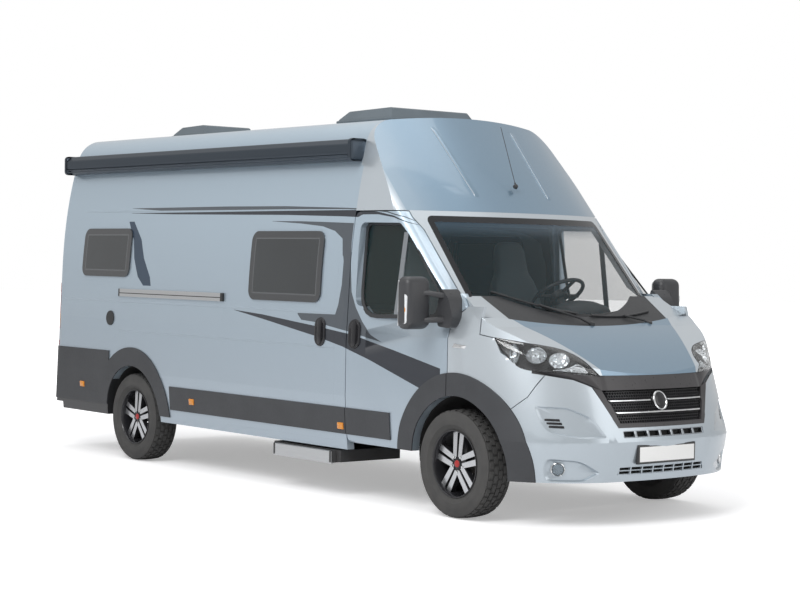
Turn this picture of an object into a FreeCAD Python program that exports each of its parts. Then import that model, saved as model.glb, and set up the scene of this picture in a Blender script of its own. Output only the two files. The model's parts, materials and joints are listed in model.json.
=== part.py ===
import FreeCAD, Part
import math
import os

# A high-roofed camper van, in millimetres.
# The origin is on the ground, midway along the length and across the width.
# +X is forwards, +Y is the vehicle's left and +Z is up.

V = FreeCAD.Vector

# Whole vehicle
LENGTH = 6363.0
FRONT_X = LENGTH / 2
REAR_X = -LENGTH / 2
WHEELBASE = 4035.0
FRONT_OVERHANG = 948.0
FRONT_AXLE_X = FRONT_X - FRONT_OVERHANG
REAR_AXLE_X = FRONT_AXLE_X - WHEELBASE
FRONT_TRACK = 1810.0
REAR_TRACK = 1790.0
FAR = 4500.0
WIDE = 1400.0
HIGH = 3200.0

# Clearances
FIT = 0.3
DOOR_GAP = 7.0

# Body section: half widths and heights
HALF_WIDTH = 1025.0
SILL_HALF_WIDTH = 985.0
SILL_Z = 345.0
BELLY_Z = 270.0
WIDEST_Z = 700.0
BELT_Z = 1324.0
BELT_HALF = 1015.0
UPPER_MID_Z = 1915.0
UPPER_MID_HALF = 967.0
CANT_Z = 2500.0
CANT_HALF = 850.0
SHOULDER_Z = 2618.0
SHOULDER_HALF = 770.0
ROOF_EDGE_Z = 2665.0
ROOF_EDGE_HALF = 640.0
ROOF_Z = 2700.0

# Walls
WALL = 60.0
REBATE = 14.0
REBATE_LAP = 26.0
GLASS = 6.0
PANEL = 25.0

# Tail
TAIL_X = -3130.0
TAIL_LEAN = 0.062
TAIL_CORNER = 150.0
TAIL_BASE_Z = 900.0
CORNER_POST_X = -2985.0

# Windscreen and roof front: one slope, bowed in plan
SLOPE = 1.10
SCREEN_X = 1700.0
SCREEN_Z = 2119.0
SCREEN_PLAN_R = 1900.0
SCREEN_CORNER_R = 110.0
SCREEN_HALF = 955.0
CAB_TAPER = 75.0
CAB_TAPER_RUN = 1300.0
SCREEN_TOP_Z = 1978.0
SCREEN_TOP_HALF = 800.0
SCREEN_CORNER_Z = 1395.0
SCREEN_CORNER_HALF = 825.0
SCREEN_FOOT_Z = 1268.0

# Nose
NOSE_RIDGE_Z = 545.0
NOSE_LEAN = 0.335
NOSE_TUCK = 0.18
NOSE_PLAN_R = 3000.0
NOSE_CORNER_R = 690.0
NOSE_HALF = 1018.0
WING_CREST_Z = 1400.0
WING_CREST_HALF = 945.0
WING_SHOULDER_Z = 1130.0
BONNET_REAR_X = 2550.0
BONNET_REAR_Z = 1255.0
BONNET_REAR_R = 3500.0
BONNET_FRONT_Z = 965.0
BONNET_BULGE = 22.0
BONNET_HINGE_X = 2440.0
BONNET_HINGE_Z = 1338.0
WIPER_R = 8.0
WIPER_Z = 1350.0
WIPER_RISE = 190.0
COWL_DROP = 12.0
COWL_THICK = 26.0

# Floor and chassis
FLOOR_Z = 620.0
FLOOR_THICK = 50.0
FIREWALL_X = 2200.0
FIREWALL_THICK = 20.0
FIREWALL_TOP_Z = 1240.0
RAIL_Y = 430.0
RAIL_W = 80.0
RAIL_H = 120.0
RAIL_REAR_X = -3050.0
RAIL_FRONT_X = 2960.0
SLAM_PANEL = (2880.0, 2915.0, 935.0)
CROSS_X = (-2950.0, -2300.0, -1250.0, -300.0, 560.0, 1450.0, 2880.0)

# Wheels
TYRE_R = 355.0
TYRE_W = 225.0
TYRE_SHOULDER = 40.0
TYRE_BEAD_IN = 11.0
RIM_R = 222.0
RIM_LIP = 12.0
RIM_W = 190.0
RIM_WALL = 9.0
RIM_WELL = 20.0
HUB_R = 78.0
HUB_BORE_R = 36.0
SPOKES = 5
SPOKE_W = 30.0
SPOKE_SPREAD = 15.0
SPOKE_THICK = 34.0
FACE_SET = 30.0
KINGPIN_IN = 75.0
UPRIGHT = 34.0
ARM_Z = 262.0
ARM_R = 20.0
ARM_CLEARANCE = 1.5
STRUT_R = 32.0
STRUT_Y = 700.0
AXLE_R = 45.0
SPRING_Y = 560.0
SPRING_W = 70.0
SPRING_HALF = 640.0
SPRING_THICK = 34.0

# Arches
FRONT_ARCH_R = 455.0
FRONT_ARCH_SHIFT = 25.0
FRONT_ARCH_Z = 345.0
FRONT_ARCH_X = FRONT_AXLE_X + FRONT_ARCH_SHIFT
REAR_ARCH_R = 420.0
REAR_ARCH_Z = 352.0
TRIM_BAND = 150.0
TRIM_PROUD = 9.0
LINER = 8.0
LINER_INNER_Y = 560.0
REAR_LINER_INNER_Y = 615.0
LINER_OUTER_Y = 960.0
LINER_BOTTOM_Z = 330.0

# Side seams and doors
SLIDE_REAR_X = -466.0
SLIDE_FRONT_X = 957.0
SLIDE_BOTTOM_Z = 402.0
CAB_REAR_X = 1093.0
DOOR_TOP_Z = 2005.0
DOOR_BOTTOM_Z = 402.0
CAB_FRONT_X = 2168.0
CAB_BELT_Z = 1290.0
PILLAR_TOP_HALF = 886.0
PILLAR_MID_HALF = 858.0
PILLAR_MID_Z = 1880.0
HINGE_X = 2292.0
HINGE_Y = 1026.0
DOOR_NOSE_Z = 1372.0
SIDE_TOP_Z = 2330.0
CAP_REAR_X = 1060.0

# Side windows: rear, front, bottom and top
WINDOW_R = 75.0
WINDOW_FRAME = 42.0
WINDOW_PROUD = 12.0
WINDOW_DEPTH = 40.0
REAR_WINDOW = (-2650.0, -1880.0, 1495.0, 1894.0)
SLIDE_WINDOW = (-130.0, 770.0, 1360.0, 1870.0)

# Cladding
CLAD_TOP_Z = 640.0
CLAD_BOTTOM_Z = 455.0
CLAD_REAR_X = -1215.0
CLAD_FRONT_X = 1585.0

# Sliding door's rail and wall vent
SLIDE_RAIL_REAR_X = -2020.0
SLIDE_RAIL_Z = (1335.0, 1398.0)
RAIL_PROUD = 16.0
VENT_X = -2147.0
VENT_Z = 1152.0
VENT_R = 60.0
VENT_PROUD = 8.0

# Rear doors
REAR_DOOR_HALF = 820.0
REAR_DOOR_BOTTOM_Z = 640.0
REAR_DOOR_TOP_Z = 2460.0
REAR_DOOR_TOP_HALF = 680.0
REAR_DOOR_SHOULDER_Z = 1700.0
REAR_HINGE_OUT = 22.0
REAR_GLASS = (170.0, 690.0, 1500.0, 2000.0)
REAR_GLASS_R = 60.0

# Bumpers and lamps
REAR_BUMPER_TOP_Z = 880.0
REAR_STEP_Z = 600.0
REAR_BUMPER_BOTTOM_Z = 430.0
REAR_BUMPER_FRONT_X = -2157.0
BUMPER_BOTTOM_Z = 290.0
GRILLE_TOP_Z = 945.0
GRILLE_TOP_HALF = 560.0
GRILLE_FOOT_Z = 635.0
GRILLE_FOOT_HALF = 400.0
GRILLE_DEPTH = 45.0
GRILLE_BARS = 6
SLOT_Z = 593.0
SLOT_H = 44.0
SLOT_HALF = 372.0
SLOTS = 7
SLOT_RIB = 18.0
INTAKE_TOP_Z = 385.0
INTAKE_FOOT_Z = 335.0
INTAKE_HALF = 400.0
LAMP_INNER_Y = 435.0
LAMP_DEPTH = 80.0
FOG_Y = 770.0
FOG_Z = 395.0
FOG_R = 40.0
TAIL_LAMP_Z = (885.0, 1425.0)
TAIL_LAMP_HALF = 850.0

# Roof fittings
HATCH_TOP_Z = 2790.0
FRONT_HATCH = (130.0, 770.0, 400.0)
REAR_HATCH = (-2420.0, -1950.0, 270.0)
HATCH_WALL = 60.0
AWNING_REAR_X = -3020.0
AWNING_FRONT_X = 1050.0
AWNING_TOP_Z = 2515.0
AWNING_BOTTOM_Z = 2362.0
AWNING_OUT = 990.0

# Cab and living space
SEAT_Y = 430.0
SEAT_WIDTH = 490.0
SEAT_X = 1250.0
WHEEL_CENTRE = (1680.0, 430.0, 1440.0)
WHEEL_RING_R = 195.0
WHEEL_TUBE_R = 14.0
WHEEL_TILT = 35.0
DASH_HALF = 900.0
KITCHEN = (-1250.0, -520.0, -938.0, -450.0, 1500.0)
WARDROBE = (-1250.0, -300.0, 380.0, 955.0, 1250.0)
BENCH = (-20.0, 480.0, 200.0, 955.0, 1020.0)
BED = (-3040.0, -1350.0, 1130.0)
CUSHION = 120.0

# Step, tank, exhaust and engine
STEP = (235.0, 945.0)
STEP_OUT = 1030.0
STEP_IN = 640.0
STEP_Z = 258.0
STEP_THICK = 30.0
TANK = (700.0, 1350.0, 340.0, 380.0)
ENGINE = (2360.0, 2844.7, 330.0, 440.0, 980.0)
EXHAUST_Y = 640.0
EXHAUST_Z = 489.7


def box(x0, x1, y0, y1, z0, z1):
    """A box between two corners."""
    return Part.makeBox(x1 - x0, y1 - y0, z1 - z0, V(x0, y0, z0))


def mirrored(shape):
    """The same shape on the vehicle's other side."""
    return shape.mirror(V(0, 0, 0), V(0, 1, 0))


def pair(shape):
    """A shape and its mirror image, as solids of one piece."""
    return Part.makeCompound([shape, mirrored(shape)])


def group(shapes):
    """Solids of one piece that don't touch."""
    return Part.makeCompound(shapes)


def fuse(shapes):
    """One solid from pieces that meet."""
    return shapes[0].multiFuse(shapes[1:]).removeSplitter()


def place(points, plane):
    """Turn pairs into vectors on the xz, yz or xy plane."""
    if plane == "xz":
        return [V(a, 0, b) for a, b in points]
    if plane == "yz":
        return [V(0, a, b) for a, b in points]
    return [V(a, b, 0) for a, b in points]


def rounded_face(points, plane, radius=0.0):
    """A face with every corner rounded by the same radius, or by one each."""
    corners = place(points, plane)
    count = len(corners)
    radii = radius if isinstance(radius, (list, tuple)) else [radius] * count
    edges = []
    first = last = None
    for i, corner in enumerate(corners):
        before = corners[i - 1] - corner
        after = corners[(i + 1) % count] - corner
        start = end = corner
        if radii[i] > 0:
            half = before.getAngle(after) / 2
            reach = radii[i] / math.tan(half)
            start = corner + before.normalize() * reach
            end = corner + after.normalize() * reach
            inward = (before + after).normalize()
            middle = corner + inward * (radii[i] / math.sin(half) - radii[i])
        if last is not None and last.distanceToPoint(start) > 1e-6:
            edges.append(Part.LineSegment(last, start).toShape())
        if radii[i] > 0:
            edges.append(Part.Arc(start, middle, end).toShape())
        if first is None:
            first = start
        last = end
    if last.distanceToPoint(first) > 1e-6:
        edges.append(Part.LineSegment(last, first).toShape())
    return Part.Face(Part.Wire(edges))


def side_prism(points, y0, y1, radius=0.0):
    """A side view outline carried across the vehicle."""
    face = rounded_face(points, "xz", radius)
    face.translate(V(0, y0, 0))
    return face.extrude(V(0, y1 - y0, 0))


def front_prism(points, x0, x1, radius=0.0):
    """A front view outline carried along the vehicle."""
    face = rounded_face(points, "yz", radius)
    face.translate(V(x0, 0, 0))
    return face.extrude(V(x1 - x0, 0, 0))


def rect(a0, a1, b0, b1):
    return [(a0, b0), (a1, b0), (a1, b1), (a0, b1)]


def symmetric(right):
    """A front view outline from its right half, listed from the top down."""
    return [(-y, z) for y, z in right] + [(y, z) for y, z in reversed(right)]


def cylinder_y(x, z, radius, y0, y1):
    return Part.makeCylinder(radius, y1 - y0, V(x, y0, z), V(0, 1, 0))


def rod(a, b, radius):
    """A round bar from one point to another."""
    start = V(*a)
    run = V(*b) - start
    return Part.makeCylinder(radius, run.Length, start, run)


def section_face(inset):
    """The body's cross-section, set in from the skin all round."""
    skin = [
        (SILL_HALF_WIDTH, BELLY_Z, 0),
        (HALF_WIDTH, WIDEST_Z, 0),
        (BELT_HALF, BELT_Z, 0),
        (UPPER_MID_HALF, UPPER_MID_Z, 9),
        (CANT_HALF, CANT_Z, 20),
        (SHOULDER_HALF, SHOULDER_Z, 50),
        (ROOF_EDGE_HALF, ROOF_EDGE_Z, 78),
    ]
    right = []
    for y, z, turn in skin:
        angle = math.radians(turn)
        right.append((y - inset * math.cos(angle), z - inset * math.sin(angle)))
    p = place(right, "yz")
    q = place([(-y, z) for y, z in right], "yz")
    top = V(0, 0, ROOF_Z - inset)
    edges = [
        Part.Arc(p[0], p[1], p[2]).toShape(),
        Part.Arc(p[2], p[3], p[4]).toShape(),
        Part.Arc(p[4], p[5], p[6]).toShape(),
        Part.Arc(p[6], top, q[6]).toShape(),
        Part.Arc(q[6], q[5], q[4]).toShape(),
        Part.Arc(q[4], q[3], q[2]).toShape(),
        Part.Arc(q[2], q[1], q[0]).toShape(),
        Part.LineSegment(q[0], p[0]).toShape(),
    ]
    return Part.Face(Part.Wire(edges))


def section_prism(inset, x0, x1):
    """The cross-section carried along the vehicle."""
    face = section_face(inset)
    face.translate(V(x0, 0, 0))
    return face.extrude(V(x1 - x0, 0, 0))


def bow_face(front_x, bow_r, corner_r, half, taper=0.0, run=100.0):
    """A plan outline with a bowed front, round corners and sides that widen to the rear."""
    centre_y = half - corner_r
    centre_x = front_x - bow_r + math.sqrt((bow_r - corner_r) ** 2 - centre_y ** 2)
    turn = math.atan2(centre_y, centre_x - (front_x - bow_r))

    def on_corner(angle):
        return V(centre_x + corner_r * math.cos(angle), centre_y + corner_r * math.sin(angle), 0)

    points = [on_corner(turn), on_corner((turn + math.pi / 2) / 2), on_corner(math.pi / 2)]
    points += [V(centre_x - run, half + taper, 0), V(-FAR, half + taper, 0)]
    a, b, c, d, e = points
    fa, fb, fc, fd, fe = [V(p.x, -p.y, 0) for p in points]
    edges = [
        Part.Arc(fa, V(front_x, 0, 0), a).toShape(),
        Part.Arc(a, b, c).toShape(),
        Part.LineSegment(c, d).toShape(),
        Part.LineSegment(d, e).toShape(),
        Part.LineSegment(e, fe).toShape(),
        Part.LineSegment(fe, fd).toShape(),
        Part.LineSegment(fd, fc).toShape(),
        Part.Arc(fc, fb, fa).toShape(),
    ]
    return Part.Face(Part.Wire(edges))


LOW_Z = 200.0
RISE = 2800.0


def screen_prism(inset):
    """Everything behind the sloping windscreen and roof front."""
    shift = inset * math.hypot(1, SLOPE) / SLOPE
    front = SCREEN_X - shift + (SCREEN_Z - LOW_Z) / SLOPE
    half = SCREEN_HALF - inset
    corner = max(SCREEN_CORNER_R - inset, 20.0)
    face = bow_face(front, SCREEN_PLAN_R - inset, corner, half, CAB_TAPER, CAB_TAPER_RUN)
    face.translate(V(0, 0, LOW_Z))
    return face.extrude(V(-RISE / SLOPE, 0, RISE))


def tail_prism(inset):
    """Everything ahead of the leaning tail with its round corners."""
    x = TAIL_X + inset - TAIL_LEAN * (TAIL_BASE_Z - LOW_Z)
    half = HALF_WIDTH + 1 - inset
    corner = max(TAIL_CORNER - inset, 20.0)
    points = [(x, -half), (FAR, -half), (FAR, half), (x, half)]
    face = rounded_face(points, "xy", [corner, 0, 0, corner])
    face.translate(V(0, 0, LOW_Z))
    return face.extrude(V(TAIL_LEAN * RISE, 0, RISE))


def nose_prism(inset):
    """Everything behind the bowed nose, which leans back above its ridge and tucks in below."""
    rise = WING_CREST_Z + 100 - LOW_Z
    solids = []
    for lean in (NOSE_LEAN, -NOSE_TUCK):
        front = FRONT_X - inset + lean * (NOSE_RIDGE_Z - LOW_Z)
        corner = NOSE_CORNER_R - inset
        face = bow_face(front, NOSE_PLAN_R - inset, corner, NOSE_HALF - inset)
        face.translate(V(0, 0, LOW_Z))
        solids.append(face.extrude(V(-lean * rise, 0, rise)))
    return solids[0].common(solids[1])


def shoulder_prism(inset):
    """The lean-in of the wings above their shoulders, seen from the front."""
    right = [
        (WING_CREST_HALF - 20 - inset, WING_CREST_Z + 60),
        (WING_CREST_HALF - inset, WING_CREST_Z),
        (HALF_WIDTH + 5 - inset, WING_SHOULDER_Z),
        (HALF_WIDTH + 5 - inset, LOW_Z),
    ]
    return front_prism(symmetric(right), 1300, 3400)


def bonnet_fall():
    """The drop per length of the bonnet line."""
    front_x = FRONT_X - NOSE_LEAN * (BONNET_FRONT_Z - NOSE_RIDGE_Z)
    return (BONNET_REAR_Z - BONNET_FRONT_Z) / (front_x - BONNET_REAR_X)


def bonnet_prism(drop):
    """Everything under the bonnet's top line."""
    front_x = FRONT_X - NOSE_LEAN * (BONNET_FRONT_Z - NOSE_RIDGE_Z)
    fall = bonnet_fall()
    reach = 500
    start = V(BONNET_REAR_X - reach, 0, BONNET_REAR_Z + reach * fall - drop)
    rear = V(BONNET_REAR_X, 0, BONNET_REAR_Z - drop)
    end = V(front_x + reach, 0, BONNET_FRONT_Z - reach * fall - drop)
    lip = V(front_x, 0, BONNET_FRONT_Z - drop)
    middle = (rear + lip) * 0.5 + V(0, 0, BONNET_BULGE)
    edges = [
        Part.LineSegment(start, rear).toShape(),
        Part.Arc(rear, middle, lip).toShape(),
        Part.LineSegment(lip, end).toShape(),
        Part.LineSegment(end, V(end.x, 0, LOW_Z)).toShape(),
        Part.LineSegment(V(end.x, 0, LOW_Z), V(start.x, 0, LOW_Z)).toShape(),
        Part.LineSegment(V(start.x, 0, LOW_Z), start).toShape(),
    ]
    face = Part.Face(Part.Wire(edges))
    face.translate(V(0, -WIDE, 0))
    return face.extrude(V(0, 2 * WIDE, 0))


def cabin_form(inset):
    """The closed form of the body behind the windscreen."""
    form = section_prism(inset, -3400, 2650)
    return form.common(screen_prism(inset)).common(tail_prism(inset))


def wing_form(inset):
    """The closed form of the nose's sides and front, open above the bonnet."""
    form = section_prism(inset, 1300, 3400)
    return form.common(nose_prism(inset)).common(shoulder_prism(inset))


def nose_form(inset):
    """The closed form of the nose under its bonnet line."""
    return wing_form(inset).common(bonnet_prism(inset))


def side_form(inset):
    """The cabin and the wings as one form, for the cab doors."""
    return cabin_form(inset).fuse(wing_form(inset))


def shell(form, outer, inner):
    """A skin between two insets of a form."""
    return form(outer).cut(form(inner))


def arch_tool(axle_x, radius, centre_z, y0, y1, bottom=0.0):
    """A round-topped wheel arch, open downwards."""
    disc = cylinder_y(axle_x, centre_z, radius, y0, y1)
    low = box(axle_x - 2 * radius, axle_x + 2 * radius, y0, y1, -2 * radius, bottom)
    return disc.fuse(box(axle_x - radius, axle_x + radius, y0, y1, 0, centre_z)).cut(low)


CABIN = shell(cabin_form, 0, WALL)
SIDE = shell(side_form, 0, WALL)
NOSE = shell(nose_form, 0, PANEL)
ARCHES = arch_tool(FRONT_ARCH_X, FRONT_ARCH_R, FRONT_ARCH_Z, -WIDE, WIDE).fuse(
    arch_tool(REAR_AXLE_X, REAR_ARCH_R, REAR_ARCH_Z, -WIDE, WIDE)
)


def cab_door_prism(grow, y0=-WIDE, y1=-500.0):
    """The cab door in side view, grown by a gap."""
    outline = [
        (CAB_REAR_X - grow, DOOR_BOTTOM_Z - grow),
        (CAB_FRONT_X + grow, DOOR_BOTTOM_Z - grow),
        (CAB_FRONT_X + grow, CAB_BELT_Z + 0.3 * grow),
        (HINGE_X - 14 + grow, DOOR_NOSE_Z + 0.3 * grow),
        (1690 + 0.8 * grow, DOOR_TOP_Z - 62 + 0.6 * grow),
        (1590, DOOR_TOP_Z + grow),
        (CAB_REAR_X - grow, DOOR_TOP_Z + grow),
    ]
    return side_prism(outline, y0, y1, [50, 0, 20, 10, 60, 100, 50])


CAB_WINDOW = [
    (1165, 1350),
    (2060, 1350),
    (2070, 1425),
    (1665, 1850),
    (1580, 1925),
    (1165, 1930),
]
CAB_WINDOW_RADII = [60, 20, 20, 50, 40, 45]


def window_prism(window, grow, y0, y1):
    x0, x1, z0, z1 = window
    return side_prism(rect(x0 - grow, x1 + grow, z0 - grow, z1 + grow), y0, y1, WINDOW_R + grow)


def slide_prism(grow):
    outline = rect(
        SLIDE_REAR_X - grow, SLIDE_FRONT_X + grow, SLIDE_BOTTOM_Z - grow, DOOR_TOP_Z + grow
    )
    return side_prism(outline, -WIDE, -500, [40, 40, 60, 60])


def door_rebate():
    """The flange that a cab door closes on, carried by the pillar behind it."""
    lap = box(CAB_REAR_X - 40, CAB_REAR_X + REBATE_LAP, -WIDE, 0, FLOOR_Z + 20, DOOR_TOP_Z - 40)
    seat = shell(cabin_form, WALL + FIT, WALL + FIT + REBATE).common(lap)
    root = box(CAB_REAR_X - 40, CAB_REAR_X - DOOR_GAP, -WIDE, 0, FLOOR_Z + 20, DOOR_TOP_Z - 40)
    return seat.fuse(shell(cabin_form, WALL - 1, WALL + FIT + 1).common(root))


def side_walls():
    """The side panels behind the cab doors, cut for their doors, windows and arches."""
    top = SIDE_TOP_Z
    outline = [
        (CORNER_POST_X, SILL_Z),
        (CAB_REAR_X - DOOR_GAP, SILL_Z),
        (CAB_REAR_X - DOOR_GAP, top),
        (CORNER_POST_X, top),
    ]
    wall = CABIN.common(side_prism(outline, -WIDE, -500))
    wall = wall.cut(ARCHES).fuse(door_rebate())
    left = mirrored(wall)
    right = wall.cut(slide_prism(0))
    right = right.cut(window_prism(REAR_WINDOW, 0, -WIDE, 0))
    for window in (REAR_WINDOW, SLIDE_WINDOW):
        left = left.cut(window_prism(window, 0, 0, WIDE))
    keep("side_wall_right", right)
    keep("side_wall_left", left)


def sliding_door():
    door = CABIN.common(slide_prism(-FIT))
    keep("sliding_door", door.cut(window_prism(SLIDE_WINDOW, 0, -WIDE, 0)))


def side_windows():
    """Framed living-space windows, each a frame and pane in one."""
    slab = shell(cabin_form, -WINDOW_PROUD, WINDOW_DEPTH)
    units = []
    for window, side in ((REAR_WINDOW, -1), (SLIDE_WINDOW, -1), (REAR_WINDOW, 1), (SLIDE_WINDOW, 1)):
        y0, y1 = (-WIDE, -500) if side < 0 else (500, WIDE)
        unit = slab.common(window_prism(window, -FIT, y0, y1))
        dish = shell(cabin_form, WINDOW_DEPTH * 0.4, WINDOW_DEPTH + 1)
        units.append(unit.cut(dish.common(window_prism(window, -WINDOW_FRAME, y0, y1))))
    keep("side_windows", group(units))


def pillar_zone(grow):
    """The front-facing strip of the cabin, inboard of the doors' upper frames."""
    right = [
        (PILLAR_TOP_HALF - grow, DOOR_TOP_Z + 300),
        (PILLAR_TOP_HALF - grow, DOOR_TOP_Z - 40),
        (PILLAR_MID_HALF - grow, PILLAR_MID_Z),
        (PILLAR_MID_HALF - grow, DOOR_NOSE_Z),
        (PILLAR_MID_HALF - 200 - grow, DOOR_NOSE_Z - 30),
    ]
    return front_prism(symmetric(right), 1400, 2700)


def door_space():
    """The room that the right cab door and its gap take up."""
    return cab_door_prism(DOOR_GAP).cut(pillar_zone(DOOR_GAP))


def cab_doors():
    """The cab doors with their glass, trim and mirrors."""
    door = SIDE.common(cab_door_prism(0)).cut(ARCHES).cut(pillar_zone(0))
    door = door.cut(side_prism(CAB_WINDOW, -WIDE, 0, CAB_WINDOW_RADII))
    both("cab_door", door)
    pane = shell(side_form, GLASS * 2, GLASS * 3)
    glass = pane.common(side_prism(CAB_WINDOW, -WIDE, -500, CAB_WINDOW_RADII))
    both("cab_glass", glass)
    both("door_trim", group([clad_band(CAB_REAR_X, CLAD_FRONT_X), arch_trim_part("door")]))
    both("mirror", mirror())


def both(name, right):
    """Keep a right-hand piece and its left-hand twin."""
    keep(name + "_right", right)
    keep(name + "_left", mirrored(right))


def mirror():
    """A two-armed door mirror with a tall head."""
    outline = [(2105, 1245), (2155, 1245), (2160, 1292), (2258, 1366), (2258, 1390), (2150, 1500)]
    foot = side_prism(outline, -1062, -900, [10, 10, 0, 0, 10, 10])
    foot = foot.cut(side_form(-FIT))
    head = box(1955, 2095, -1290, -1085, 1222, 1570)
    head = head.makeFillet(38, head.Edges)
    arms = [rod((2190, -1040, z), (2040, -1130, z), 19) for z in (1285, 1450)]
    return fuse([foot, head] + arms)


def arch_trim(axle_x, radius, centre_z, foot_z):
    """A proud trim band round one right-hand arch."""
    band = shell(side_form, -TRIM_PROUD, -FIT)
    outer = arch_tool(axle_x, radius + TRIM_BAND, centre_z, -WIDE, -700, foot_z)
    return band.common(outer).cut(ARCHES)


def arch_trim_part(part):
    """One portion of the front arch trim, parted at the seams of door and bumper."""
    trim = arch_trim(FRONT_ARCH_X, FRONT_ARCH_R, FRONT_ARCH_Z, BUMPER_BOTTOM_Z)
    if part == "door":
        return trim.common(box(0, CAB_FRONT_X, -WIDE, 0, DOOR_BOTTOM_Z, 2000))
    return trim.cut(box(0, CAB_FRONT_X + DOOR_GAP, -WIDE, 0, 0, 2000))


def clad_band(x0, x1):
    """A proud cladding strip along the foot of the right side."""
    band = shell(side_form, -TRIM_PROUD, -FIT)
    reach = FRONT_ARCH_X - FRONT_ARCH_R - TRIM_BAND
    strip = box(x0, min(x1, reach - 4), -WIDE, 0, CLAD_BOTTOM_Z, CLAD_TOP_Z)
    return band.common(strip)


def side_trims():
    """The cladding strips and arch trims along both sides."""
    strip = clad_band(CLAD_REAR_X, CAB_REAR_X - DOOR_GAP)
    rear = arch_trim(REAR_AXLE_X, REAR_ARCH_R, REAR_ARCH_Z, 392)
    rear = rear.cut(box(-3400, REAR_BUMPER_FRONT_X + FIT, -WIDE, 0, 0, 2000))
    rear = rear.cut(box(CLAD_REAR_X - FIT, 0, -WIDE, 0, 0, 2000))
    front = arch_trim_part("wing")
    right = [strip, rear, front]
    keep("side_trims", group(right + [mirrored(trim) for trim in right]))


def roof():
    """The roof panel with its hatch openings, and the sloping front cap."""
    slab = CABIN.common(box(CORNER_POST_X, CAP_REAR_X, -WIDE, WIDE, SIDE_TOP_Z + FIT, HIGH))
    for rear_x, front_x, half in (FRONT_HATCH, REAR_HATCH):
        inner = HATCH_WALL
        slab = slab.cut(
            box(rear_x + inner, front_x - inner, inner - half, half - inner, 2500, HIGH)
        )
    keep("roof_panel", slab)
    outline = [
        (CAP_REAR_X + FIT, SIDE_TOP_Z + FIT),
        (CAP_REAR_X + FIT, HIGH),
        (2400, HIGH),
        (2400, DOOR_TOP_Z + DOOR_GAP + FIT),
        (CAB_REAR_X - DOOR_GAP + FIT, DOOR_TOP_Z + DOOR_GAP + FIT),
        (CAB_REAR_X - DOOR_GAP + FIT, SIDE_TOP_Z + FIT),
    ]
    keep("roof_cap", CABIN.common(side_prism(outline, -WIDE, WIDE)))


def hatches():
    """Low domed roof hatches on their frames."""
    units = []
    for rear_x, front_x, half in (FRONT_HATCH, REAR_HATCH):
        base = box(rear_x, front_x, -half, half, 2600, HATCH_TOP_Z)
        slope = [
            (rear_x, 2600),
            (front_x, 2600),
            (front_x, HATCH_TOP_Z - 75),
            (front_x - 45, HATCH_TOP_Z),
            (rear_x + 90, HATCH_TOP_Z - 10),
            (rear_x, HATCH_TOP_Z - 70),
        ]
        lid = base.common(side_prism(slope, -half, half, [0, 0, 12, 25, 40, 12]))
        sides = symmetric([(half - 40, HATCH_TOP_Z + 1), (half, HATCH_TOP_Z - 75), (half, 2590)])
        lid = lid.common(front_prism(sides, rear_x, front_x))
        units.append(lid.cut(cabin_form(-FIT)))
    keep("roof_hatches", group(units))


def screen_outline(grow):
    """The windscreen seen from the front, grown by a gap."""
    return symmetric(
        [
            (SCREEN_TOP_HALF + grow, SCREEN_TOP_Z + grow),
            (SCREEN_CORNER_HALF + grow, SCREEN_CORNER_Z - grow),
            (1, SCREEN_FOOT_Z - grow),
        ]
    )


def windscreen():
    """The windscreen and the pillars and header that hold it."""
    radii = [50, 40, 0, 0, 40, 50]
    pane = shell(cabin_form, 0, GLASS)
    keep("windscreen", pane.common(front_prism(screen_outline(-FIT), 1500, 2700, radii)))
    outline = [
        (CAB_REAR_X - DOOR_GAP + FIT, DOOR_TOP_Z + DOOR_GAP),
        (2100, DOOR_TOP_Z + DOOR_GAP),
        (2700, SCREEN_CORNER_Z),
        (2200, SCREEN_CORNER_Z - 14),
    ]
    around = side_prism(outline, -WIDE, WIDE)
    around = around.cut(front_prism(screen_outline(0), 1450, 2800, radii))
    door = door_space()
    keep("windscreen_frame", biggest(CABIN.common(around).cut(door).cut(mirrored(door))))


def biggest(shape):
    """The largest solid of a cut, without its slivers."""
    return max(shape.Solids, key=lambda solid: solid.Volume)


def bonnet_plan(grow):
    """The bonnet's bowed rear edge as a tool that holds everything behind it."""
    face = bow_face(BONNET_REAR_X + grow, BONNET_REAR_R, 60.0, HALF_WIDTH + 60)
    face.translate(V(0, 0, LOW_Z))
    return face.extrude(V(0, 0, 1500))


def bonnet_side(grow):
    """The part of the nose that lifts with the bonnet, in side view."""
    outline = [
        (2455 - grow, 1500),
        (2455 - grow, 1208 - grow),
        (2548, 1190 - grow),
        (2700, 1128 - grow),
        (2860, 1045 - grow),
        (3000, 962 - grow),
        (3300, 930 - grow),
        (3300, 1500),
    ]
    return side_prism(outline, -WIDE, WIDE)


LAMP_OUTLINE = [
    (2556, 1180),
    (2600, 1095),
    (2700, 1034),
    (2830, 990),
    (2960, 952),
    (3010, 942),
    (3004, 953),
    (2862, 1036),
    (2702, 1119),
]


def front_end():
    """The bonnet, wings, cowl, bumper, grilles and lamps."""
    panel = NOSE.common(bonnet_side(0)).cut(bonnet_plan(0))
    keep("bonnet", biggest(panel))
    lamp = shell(nose_form, 0, LAMP_DEPTH)
    lamp = biggest(lamp.common(side_prism(LAMP_OUTLINE, -WIDE, -LAMP_INNER_Y)))
    fog = fog_lamp()
    keep("front_lamps", group([lamp, mirrored(lamp), fog, mirrored(fog)]))
    wings(lamp)
    cowl()
    bumper(lamp, fog)


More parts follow.
